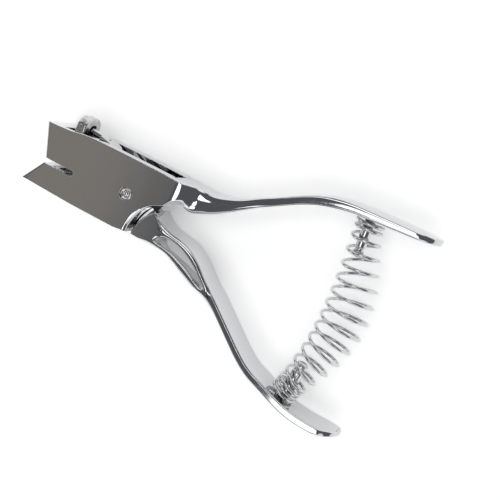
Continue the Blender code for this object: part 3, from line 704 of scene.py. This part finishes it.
def tip_mask(end):
    """What lies outside a handle's rounded end, drawn across the tool."""
    start = end - tip_length
    half = handle_half + 0.03
    curve = arc((0, 0), 1, 0, 180, 40)
    line = [(half * x, start + tip_length * y) for x, y in curve]
    return [(10, start), *line, (-10, start), (-10, end + 3), (10, end + 3)]


cut_away(lever, upright(plate("tip_mask", tip_mask(lower_end), -60, 0), 0))
print("lever plate", len(lever.data.polygons), "faces")

# %% [markdown]
# ### The lever's edges
#
# The polisher rounds what the hand touches and leaves crisp what fits against another part. So
# the outer edges are widest, the window's rim is softer than a cut and narrower than the outer
# edge, and where two lines meet at a corner each width shrinks to 0.4 mm. That last step
# matters: a wide bevel that meets a short edge at a corner throws a spike, and a mesh with
# spikes can't be welded to anything.

# %% Round its edges, each by its own size
def nearest(line, place):
    return min(math.hypot(place.x - x, place.y - y) for x, y in line)


fine_outer = smooth_line(outer_side, 4)
fine_inner = smooth_line(inner_side, 4)
fine_window = smooth_line(window_line + window_line[:1], 4)
corners = ((6.32, -13.49), (12.03, -1.53), (9.9, -13.59))
full_round, window_round = 1.9, 1.2
on_line = 0.15  # how near to a line an edge still counts as part of it
neck_end = 44


def lever_round(a, b):
    """How much an edge of the lever is rounded, in mm: its outer edges most, thin places less."""
    middle = (a + b) / 2
    if middle.x > lower_end - tip_length + 0.02:  # round the tip
        return 0.7 if math.hypot(a.x - b.x, a.z - b.z) > 0.02 else 0
    if abs(a.z - b.z) > 1:  # across the tool
        return 0
    narrow = 0.4 + 0.3 * min(nearest(corners, a), nearest(corners, b))
    to_window, to_outer = nearest(fine_window, middle), nearest(fine_outer, middle)
    to_inner = nearest(fine_inner, middle)
    if to_window < on_line:
        return min(window_round, 0.25 * to_outer, 0.3 * to_inner)
    if to_outer < on_line:
        share = min(1, max(0, (middle.x - neck_end) / 50))
        return min(full_round - 1.2 * share, 0.62 * to_window, narrow)
    if to_inner < on_line and middle.x < neck_end:
        return min(full_round, 0.6 * to_window, narrow)
    return min(0.75, narrow)


round_edges(lever, 2, lever_round)
print("lever with round edges", len(lever.data.polygons), "faces")

# %% [markdown]
# The arm and its hub are narrower, 8 mm, because they sit between the cheeks. The nose at the
# arm's end is a short round rod that passes through the eye in the punch: a cylinder with a domed
# end, tilted a little, and welded on like the arm.

# %% Weld on the arm, the hub and the nose
arm_half, hub_radius, hub_steps = 4, 7, 32
arm_root = (-4.58, 7.26)
arm_top = ((-21.01, 13.86), (-17.95, 13.33), (-15.28, 12.41), (-10.7, 10.03), arm_root)
arm_top = smooth_line(arm_top, 6)
arm_under = smooth_line(((-5.73, -4.76), (-11.08, 0.66), (-17.19, 7.26), (-21.01, 10.56)), 6)
root_turn = math.degrees(math.atan2(arm_root[1], arm_root[0]))
root_reach = math.hypot(*arm_root)
hub = []
for i in range(1, hub_steps + 1):
    turn = math.radians(root_turn * (1 - i / hub_steps))
    reach = hub_radius + (root_reach - hub_radius) * max(0, 1 - i / 10)
    hub.append((reach * math.cos(turn), reach * math.sin(turn)))
arm_line = arm_top + hub + [(12.75, -3.4), (12.75, -12.24), (8.5, -12.65), (4.93, -9.52), (0, -7)]
arm = plate("hub_and_arm", arm_line + arm_under, -arm_half, arm_half)


def crisp_rim(edge):
    middle = middle_of(edge)
    return abs(abs(middle.z) - arm_half) < 0.01 and middle.y > 0.5


bevel_picked(arm, crisp_rim, 0.5, segments=4, clamp_overlap=True)
weld_on(lever, arm)

nose_slope = math.radians(-5.4)
nose_radius, nose_length, nose_centre = 1.5, 11.75, 24.68
bpy.ops.object.select_all(action="DESELECT")
rod = {"vertices": 48, "radius": nose_radius * MM, "depth": nose_length * MM}
bpy.ops.mesh.primitive_cylinder_add(**rod)
nose = bpy.context.active_object
nose.name = "nose_rod"
open_mesh(nose)
pick(nose, "FACE", lambda face: face.normal.z > 0.9)
for inset, rise in ((0.12, 0.5), (0.3, 0.35), (0.45, 0.15), (0.4, 0.05)):
    move = {"value": (0, 0, rise * MM)}
    bpy.ops.mesh.extrude_region_move(TRANSFORM_OT_translate=move)
    share = (nose_radius - inset) / nose_radius
    bpy.ops.transform.resize(value=(share, share, 1), center_override=(0, 0, 0))
close_mesh()
eye_height = 13.4
lean = Matrix.Rotation(nose_slope, 4, "Z") @ Matrix.Rotation(-math.pi / 2, 4, "Y")
axis_lift = eye_height - punch_x * math.tan(nose_slope)
lift = Matrix.Translation((0, axis_lift * MM, 0))
settle(nose, lift @ lean @ Matrix.Translation((0, 0, nose_centre * MM)))
weld_on(lever, nose)
cut_away(lever, plate("lever_bore", bore_circle, -past, past))
print("lever with arm and nose", len(lever.data.polygons), "faces")

# %% [markdown]
# The finished lever is smoothed, moved to the pivot and put on its own body, so that the hinge
# can turn it. It takes the place of the plain CAD lever.

# %% Finish the lever
shade(lever)
stand_at_pivot(lever)
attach(lever, "lever")
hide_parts("lever_and_lower_handle")
print("finished lever", len(lever.data.polygons), "faces")

# %% [markdown]
# ## The punch
#
# The punch is one piece of cast steel: a blade with round ends under an arched saddle, with an
# eye for the lever's nose. The saddle is the most worn part of the tool. The arch is a plate with
# a wide bevel round its rim, the eye is cut through it and its own rim is broken, and the blade is
# welded on last. The unevenness of its skin is left to the bump in its steel.

# %% Shape the punch
def turned_across(obj, x):
    """Turns a plate drawn in (z, y) so that its thickness runs along X, and moves it to x."""
    settle(obj, Matrix(((0, 0, 1, x * MM), (0, 1, 0, 0), (-1, 0, 0, 0), (0, 0, 0, 1))))
    return obj


saddle_top, saddle_base, blade_tip = 18.2, 9.0, -1.4
saddle_half, saddle_thick, saddle_corner = 6.0, 2.2, 4.2
arch = [(-saddle_half, saddle_base), (saddle_half, saddle_base)]
arch += arc((saddle_half - saddle_corner, saddle_top - saddle_corner), saddle_corner, 0, 90, 14)
arch += arc((saddle_corner - saddle_half, saddle_top - saddle_corner), saddle_corner, 90, 180, 14)
saddle = turned_across(plate("punch_with_saddle", arch, -saddle_thick, saddle_thick), punch_x)


def arch_rim(edge):
    middle = middle_of(edge)
    return abs(abs(middle.x - punch_x) - saddle_thick) < 0.01 and middle.y > saddle_base + 0.1


bevel_picked(saddle, arch_rim, 0.95, segments=5, profile=0.55, clamp_overlap=False)
eye = [(z, y + eye_height) for z, y in rounded_box(4.4, 4.0, 1.33)]
cut_away(saddle, turned_across(plate("eye", eye, -4, 4), punch_x))


def eye_rim(edge):
    middle = middle_of(edge)
    across = math.hypot(middle.z, middle.y - eye_height)
    return abs(abs(middle.x - punch_x) - saddle_thick) < 0.02 and across < 2.9


bevel_picked(saddle, eye_rim, 0.35, segments=3, clamp_overlap=True)
blade = upright(plate("blade", round_ended(14, 3), blade_tip, saddle_base + 1.5), punch_x)
weld_on(saddle, blade)
shade(saddle, 40)
stand_at_pivot(saddle)
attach(saddle, "punch")
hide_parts("slot_punch")
print("punch", len(saddle.data.polygons), "faces")

# %% [markdown]
# ## The rivet and the spring's posts
#
# Round pieces are spun: half of the section is drawn as a line of edges, and Spin carries it
# round the axis. The rivet's heads show a bright ring with a low dome in its middle. The posts
# that hold the spring have a groove near their free ends, with soft corners from the polishing.

# %% Spin the round pieces
def spun(name, profile, steps=64):
    """A round piece about Z from (radius, height) points in mm, from the axis to the axis."""
    obj = ring_of(name, [(radius * MM, 0, height * MM) for radius, height in profile], "NOTHING")
    first_to_last = {0, len(profile) - 1}
    pick(obj, "EDGE", lambda edge: {vertex.index for vertex in edge.verts} == first_to_last)
    bpy.ops.mesh.delete(type="EDGE")
    bpy.ops.mesh.select_all(action="SELECT")
    bpy.ops.mesh.spin(steps=steps, angle=math.tau, center=(0, 0, 0), axis=(0, 0, 1))
    bpy.ops.mesh.select_all(action="SELECT")
    bpy.ops.mesh.remove_doubles(threshold=0.002 * MM)
    close_facing_out()
    return obj


def soften(profile, radius, steps=3):
    """The profile with each of its inner corners rounded by up to this much."""
    soft = [profile[0]]
    for before, corner, after in zip(profile, profile[1:], profile[2:]):
        corner = Vector(corner)
        ends = []
        for other in (before, after):
            way = Vector(other) - corner
            ends.append(corner + way * min(0.45, radius / max(way.length, 0.001)))
        bend = interpolate_bezier(
            ends[0], ends[0].lerp(corner, 0.6), ends[1].lerp(corner, 0.6), ends[1], steps + 1
        )
        soft += [(point.x, point.y) for point in bend]
    return soft + [profile[-1]]


rivet_end = cheek - 0.1
# radius, and how far below the rivet's end
rivet_steps = ((0, 0.03), (0.45, 0.09), (0.8, 0.28), (1.0, 0.36), (1.5, 0.36), (1.8, 0))
rivet_steps += ((2.15, 0), (2.4, 0.25), (2.4, 0.8), (1.7, 0.8))
half_rivet = [(radius, rivet_end - drop) for radius, drop in rivet_steps]
whole_rivet = half_rivet + [(radius, -height) for radius, height in reversed(half_rivet)]
rivet = spun("rivet", soften(whole_rivet, 0.16))
shade(rivet, 50)
stand_at_pivot(rivet)
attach(rivet, "head")
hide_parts("pivot_rivet")
print("rivet", len(rivet.data.polygons), "faces")

# %% [markdown]
# Each post stands on its handle's inner side, leaning back a little, with its shank sunk in it.
# The two places are read off the handles' edges, with the slope of the edge there.

# %% Stand the two spring posts on the handles
def seat_on(line, column, side, behind):
    """The place on a handle's inner edge at this x, and the unit normal out of it."""
    points = [(row[0], row[column]) for row in line]
    for (x0, y0), (x1, y1) in zip(points, points[1:]):
        if x0 <= behind <= x1:
            slope = (y1 - y0) / (x1 - x0)
            place = Vector((behind, y0 + slope * (behind - x0), 0))
            return place, Vector((-side * slope, side, 0)).normalized()


lower_line = smooth_rows(lower_edges, 6)
post_length, shank_length, groove_width, groove_depth = 14, 1.8, 1.2, 0.5


def spring_post(name, seat, lean, side, radius, body):
    """A post on its seat, leaning back, with a groove near its free end."""
    place, normal = seat
    shank = radius * 0.6
    axis = Vector((math.sin(lean), side * math.cos(lean), 0))
    across = Vector((0, 0, 1))
    # These columns are left-handed, so the post's faces end up pointing inwards: a known fault.
    turn = Matrix((axis.cross(across), across, axis)).transposed().to_4x4()
    lift = 0.3 + radius * math.sin(axis.angle(normal))
    groove = post_length - 2 * groove_width
    core = radius - groove_depth
    profile = [(0, -shank_length), (shank, -shank_length), (shank, 0), (radius, 0)]
    profile += [(radius, groove - groove_width), (core, groove - groove_width), (core, groove)]
    profile += [(radius, groove), (radius, post_length - 0.5), (radius - 0.5, post_length)]
    profile += [(0, post_length)]
    post = spun(name, soften(profile, 0.28, 4), 48)
    foot = Matrix.Translation((place + normal * lift) * MM)
    settle(post, Matrix.Translation(pivot_place) @ foot @ turn)
    shade(post, 40)
    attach(post, body)
    print(name, "stands at", [round(value, 2) for value in (place + pivot_place / MM)])
    return post


upper_seat = seat_on(upper_line, 1, -1, 84)
lower_seat = seat_on(lower_line, 2, 1, 83.2)
upper_lean, lower_lean = math.radians(4.5), math.radians(6)
upper_post = spring_post("upper_post", upper_seat, upper_lean, -1, 2.0, "head")
lower_post = spring_post("lower_post", lower_seat, lower_lean, 1, 2.4, "lever")
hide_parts("upper_spring_post")
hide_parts("lower_spring_post")

# %% [markdown]
# ## The return spring
#
# The spring is one round wire, wound wider in its middle than at its ends, with a few close turns
# at each seat. A curve through the wire's middle is the natural way: the curve's own bevel lays
# the round wire along it. The coil's axis itself bows backwards, so each point is set off from
# that bowed line by the radius that the coil has there. Then the curve becomes a mesh.

# %% Wind the wire
wire_radius = 0.65
end_radius, belly, bow = 4.9, 3.5, 4.5
coil_turns, close_above, close_below, close_pitch = 16.5, 1.5, 3.0, 2.1
top_seat, top_normal = seat_on(upper_line, 1, -1, 84.4)
bottom_seat, bottom_normal = seat_on(lower_line, 2, 1, 82.3)
seat_lift = 0.45 + wire_radius
start = top_seat + top_normal * seat_lift
end = bottom_seat + bottom_normal * seat_lift
lead = (start - end).length * 0.3
leads = start + top_normal * lead, end + bottom_normal * lead


def axis_at(share):
    """The coil's middle line, from the upper seat to the lower one."""
    share = min(1, max(0, share))
    rest = 1 - share
    line = start * rest**3 + 3 * leads[0] * share * rest**2
    line += 3 * leads[1] * share**2 * rest + end * share**3
    return line + Vector((bow * max(0, math.sin(math.pi * share)) ** 1.7, 0, 0))


stops = [axis_at(i / 200) for i in range(201)]
coil_length = sum((b - a).length for a, b in zip(stops, stops[1:]))
steps_a_turn = 36
count = round(coil_turns * steps_a_turn)
turns = [coil_turns * i / count for i in range(count + 1)]
closeness = []
for a, b in zip(turns, turns[1:]):
    turn = (a + b) / 2
    above = close_above + 0.5 - turn
    below = turn - (coil_turns - close_below - 0.5)
    closeness.append(min(1, max(0, above, below)))
step = coil_turns / count
open_pitch = (coil_length - close_pitch * step * sum(closeness)) / (step * (count - sum(closeness)))
wire_points, travelled = [], 0
for i, turn in enumerate(turns):
    share = travelled / coil_length
    nudge = 1 / (2 * coil_turns * 9)
    way = (axis_at(share + nudge) - axis_at(share - nudge)).normalized()
    out = way.cross(Vector((0, 0, 1)))
    radius = end_radius + belly * max(0, math.sin(math.pi * min(1, share))) ** 1.8
    angle = math.tau * turn
    offset = out * math.cos(angle) + Vector((0, 0, math.sin(angle)))
    wire_points.append(axis_at(share) + radius * offset)
    if i < count:
        travelled += step * (close_pitch * closeness[i] + open_pitch * (1 - closeness[i]))
print("coil", round(coil_length, 1), "mm long, open pitch", round(open_pitch, 2), "mm")

# %% [markdown]
# A curve object with a bevel depth is the simplest round wire: it sweeps a circle along the
# line and keeps it square to the line all the way. It is made a mesh at the end.

# %% Turn the wire's line into a round wire
bpy.ops.object.select_all(action="DESELECT")
bpy.ops.curve.primitive_nurbs_path_add(radius=10 * MM)
spring = bpy.context.active_object
spring.name = "wound_spring"
line = spring.data
line.splines.clear()
wire = line.splines.new("POLY")
wire.points.add(len(wire_points) - 1)
for knot, place in zip(wire.points, wire_points):
    knot.co = (*(place * MM + pivot_place), 1)
line.dimensions = "3D"
line.bevel_depth = wire_radius * MM
line.bevel_resolution = 4
line.use_fill_caps = True
bpy.ops.object.convert(target="MESH")
open_mesh(spring)
bpy.ops.mesh.select_all(action="SELECT")
bpy.ops.mesh.remove_doubles(threshold=0.001 * MM)
close_facing_out()
bpy.ops.object.shade_smooth_by_angle(angle=math.radians(40))
bpy.ops.object.transform_apply()
top, bottom = wire_points[0] * MM + pivot_place, wire_points[-1] * MM + pivot_place
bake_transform(spring)
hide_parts("return_spring")
print("spring", len(spring.data.polygons), "faces, ends at", top, bottom)

# %% [markdown]
# ## Finishes
#
# No metal is perfectly smooth. Three small shader groups carry what the metals
# have in common, and each material sets its own amounts: fine scratches from the bench, a slow
# waviness with a fine skin over it that bends reflections, and wear by the edges with painted
# shade in the corners.
# The groups give out only masks and normals. The shader itself stays in each material.

# %% Helpers for shader groups
def new_group(name, inputs, outputs):
    """A shader group with named sockets. Returns it, what comes in and the node it leaves by."""
    group = bpy.data.node_groups.new(name, "ShaderNodeTree")
    for socket, kind, value in inputs:
        made = group.interface.new_socket(socket, in_out="INPUT", socket_type=kind)
        made.default_value = value
    for socket, kind in outputs:
        group.interface.new_socket(socket, in_out="OUTPUT", socket_type=kind)
    return group, group.nodes.new("NodeGroupInput").outputs, group.nodes.new("NodeGroupOutput")


number, vector = "NodeSocketFloat", "NodeSocketVector"

# %% [markdown]
# ### Fine scratches
#
# A stretched noise gives thin lines, and its own direction is set by a Mapping node. Three of
# them cross each other, and a broad noise fades them in patches, as handling does.

# %% Fine scratches: thin lines in three directions, faded in patches
scratches, entry, leave = new_group(
    "fine_scratches",
    [("Scale", number, 1.0), ("Amount", number, 0.5)],
    [("Scratches", number), ("Patches", number)],
)
place = add(scratches, "TexCoord").outputs["Object"]
layers = []
for turn, squeeze in ((12, 26), (-38, 34), (71, 30)):
    turned = {"Vector": place, "Rotation": (0.2, 0.3, math.radians(turn))}
    turned["Scale"] = (90, 90 * squeeze, 400)
    mapping = add(scratches, "Mapping", turned)
    grain = {"Vector": mapping.outputs["Vector"], "Scale": entry["Scale"]}
    grain = add(scratches, "TexNoise", {**grain, "Detail": 3, "Roughness": 0.7})
    line = {"Value": grain.outputs["Fac"], "From Min": 0.63, "From Max": 0.74}
    layers.append(add(scratches, "MapRange", line).outputs["Result"])
lines = calculate(scratches, "MAXIMUM", layers[0], layers[1])
lines = calculate(scratches, "MAXIMUM", lines, layers[2])
patches = add(scratches, "TexNoise", {"Vector": place, "Scale": 120, "Detail": 4})
fade = {"Value": patches.outputs["Fac"], "From Min": 0.42, "From Max": 0.66}
fade = add(scratches, "MapRange", fade).outputs["Result"]
faded = calculate(scratches, "MULTIPLY", lines, fade)
faded = calculate(scratches, "MULTIPLY", faded, entry["Amount"])
fill(scratches, leave, {"Scratches": faded, "Patches": fade})
print(scratches.name, "nodes", len(scratches.nodes))

# %% [markdown]
# ### Waviness
#
# A polished casting is never quite flat. The buffing wheel leaves a slow swell that only shows
# as a bend in what is mirrored, so it is a bump with a wide pattern and little height. A finer
# bump over it stands for the skin of the plating, and the scratches are pressed in last.

# %% Waviness: a slow swell in the surface, and a fine skin over it
waves, entry, leave = new_group(
    "polished_waviness",
    [("Swell", number, 0.3), ("Swell Size", number, 60.0), ("Skin", number, 0.05),
     ("Skin Size", number, 900.0), ("Lines", number, 0.0)],
    [("Normal", vector), ("Tone", number)],
)
place = add(waves, "TexCoord").outputs["Object"]
swell = add(waves, "TexNoise", {"Vector": place, "Scale": entry["Swell Size"], "Detail": 1})
skin = add(waves, "TexNoise", {"Vector": place, "Scale": entry["Skin Size"], "Detail": 4})
normal = None
for height, strength, distance, inward in (
    (swell.outputs["Fac"], entry["Swell"], 0.0004, False),
    (skin.outputs["Fac"], entry["Skin"], 0.00003, False),
    (entry["Lines"], 0.6, 0.000008, True),
):
    bump = {"Height": height, "Strength": strength, "Distance": distance}
    if normal is not None:
        bump["Normal"] = normal
    normal = add(waves, "Bump", bump, invert=inward).outputs["Normal"]
fill(waves, leave, {"Normal": normal, "Tone": skin.outputs["Fac"]})
print(waves.name, "nodes", len(waves.nodes))

# %% [markdown]
# ### Edge wear and painted shade
#
# The Bevel node gives the normal that a rounded edge would have, and where that differs from the
# true normal there is an edge. Ambient Occlusion finds the corners, and there the colour is
# darkened as painted shade. A noise breaks both up, so that neither the wear nor the painted
# shade is even.

# %% Edge wear and painted shade: where the surface turns sharply, and where it hides
wear_and_shade, entry, leave = new_group(
    "edge_wear_and_painted_shade",
    [("Edge Reach", number, 0.0005), ("Shade Reach", number, 0.0025), ("Break Up", number, 400.0)],
    [("Edge", number), ("Painted Shade", number)],
)
place = add(wear_and_shade, "TexCoord").outputs["Object"]
rounded = add(wear_and_shade, "Bevel", {"Radius": entry["Edge Reach"]}, samples=6)
true_normal = add(wear_and_shade, "NewGeometry").outputs["Normal"]
ends = {0: rounded.outputs["Normal"], 1: true_normal}
turn = add(wear_and_shade, "VectorMath", ends, operation="DOT_PRODUCT").outputs["Value"]
# Painted shade: Ambient Occlusion finds the corners whose colour is darkened.
hidden = add(wear_and_shade, "AmbientOcclusion", {"Distance": entry["Shade Reach"]}, samples=6)
broken = add(wear_and_shade, "TexNoise", {"Vector": place, "Scale": entry["Break Up"], "Detail": 4})
masks = []
for value, low, high in (
    (broken.outputs["Fac"], 0.38, 0.62),
    (turn, 0.995, 0.93),
    (hidden.outputs["AO"], 0.75, 0.25),
):
    limits = {"Value": value, "From Min": low, "From Max": high}
    masks.append(add(wear_and_shade, "MapRange", limits).outputs["Result"])
some, edge, hollow_shade = masks
worn = calculate(wear_and_shade, "MULTIPLY", edge, some)
# The painted shade in corners, broken up by the noise.
corner_shade = calculate(wear_and_shade, "MULTIPLY", hollow_shade, some)
fill(wear_and_shade, leave, {"Edge": worn, "Painted Shade": corner_shade})
print(wear_and_shade.name, "nodes", len(wear_and_shade.nodes))

# %% [markdown]
# Every metal is then built the same way from its own numbers. The base tone shifts a little with
# the skin's noise, painted shade darkens it in corners, scratches and wear roughen it, and the
# waviness bends its reflections.

# %% Build a metal from its numbers
# The colour of the painted shade in corners.
painted_shade_colour = (0.12, 0.11, 0.1)
scratch_rough, edge_rough = 0.25, 0.12


def mixed(tree, factor, a, b):
    """A colour mix of two colours or sockets."""
    sockets = {"Factor": factor}
    for name, value in (("A", a), ("B", b)):
        sockets[name] = (*value, 1) if isinstance(value, tuple) else value
    return add(tree, "Mix", sockets, data_type="RGBA").outputs["Result"]


def metal(name, light, dark, rough, rough_spread, swell, swell_size, skin, skin_size, scratch, shade_amount):
    """A metal: its two tones, its roughness, its waviness, how scratched it is and how much painted
    shade darkens its corners.
    """
    material = bpy.data.materials.new(name)
    material.use_nodes = True
    tree = material.node_tree
    lines = add(tree, "Group", node_tree=scratches)
    fill(tree, lines, {"Amount": scratch})
    surface = add(tree, "Group", node_tree=waves)
    wavy = {"Swell": swell, "Swell Size": swell_size, "Skin": skin, "Skin Size": skin_size}
    fill(tree, surface, {**wavy, "Lines": lines.outputs["Scratches"]})
    wear_and_shade_masks = add(tree, "Group", node_tree=wear_and_shade)
    tone = mixed(tree, surface.outputs["Tone"], dark, light)
    # Painted shade: the tone is darkened towards this colour in the corners.
    shade_share = calculate(tree, "MULTIPLY", wear_and_shade_masks.outputs["Painted Shade"], shade_amount)
    tone = mixed(tree, shade_share, tone, painted_shade_colour)
    spread = {"Value": lines.outputs["Patches"], "To Min": rough, "To Max": rough + rough_spread}
    spread = add(tree, "MapRange", spread).outputs["Result"]
    scratched = lines.outputs["Scratches"]
    roughness = calculate(tree, "MULTIPLY_ADD", scratched, scratch_rough, spread)
    roughness = calculate(tree, "MULTIPLY_ADD", wear_and_shade_masks.outputs["Edge"], edge_rough, roughness)
    look = {"Metallic": 1, "Base Color": tone, "Roughness": roughness}
    look["Normal"] = surface.outputs["Normal"]
    fill(tree, tree.nodes["Principled BSDF"], look)
    return material


# Name, light and dark tone, roughness and its spread, swell and its size, skin and its size,
# scratches, and the painted shade in corners.
chrome = metal("chrome_plate", (0.66, 0.665, 0.675), (0.6, 0.605, 0.615), 0.03, 0.03,
               0.14, 60, 0.05, 900, 0.35, 0.85)
steel = metal("cast_saddle_steel", (0.72, 0.72, 0.71), (0.38, 0.38, 0.38), 0.2, 0.16,
              0.6, 320, 1.0, 700, 0.6, 0.8)
rivet_metal = metal("rivet_steel", (0.74, 0.735, 0.72), (0.62, 0.61, 0.6), 0.09, 0.06,
                    0.2, 300, 0.3, 1500, 0.4, 0.7)
wire_metal = metal("spring_wire", (0.68, 0.685, 0.695), (0.58, 0.585, 0.59), 0.06, 0.05,
                   0.15, 200, 0.15, 1200, 0.3, 0.5)

# %% [markdown]
# ### Who wears what
#
# The castings and the posts are chrome, the punch is duller cast steel, the rivet is softer
# plated steel and the spring is bright wire. The die and the two washers, deep inside, keep
# their CAD meshes and take the punch's steel.

# %% Dress every piece in its own metal
own_pieces = {
    head: chrome,
    lever: chrome,
    saddle: steel,
    rivet: rivet_metal,
    upper_post: chrome,
    lower_post: chrome,
    spring: wire_metal,
}
for piece, material in own_pieces.items():
    piece.data.materials.clear()
    piece.data.materials.append(material)
for node_name in ("die_insert", "near_pivot_washer", "far_pivot_washer"):
    for slot in bpy.data.objects[node_name].material_slots:
        slot.material = steel
print("pieces dressed", len(own_pieces) + 3)
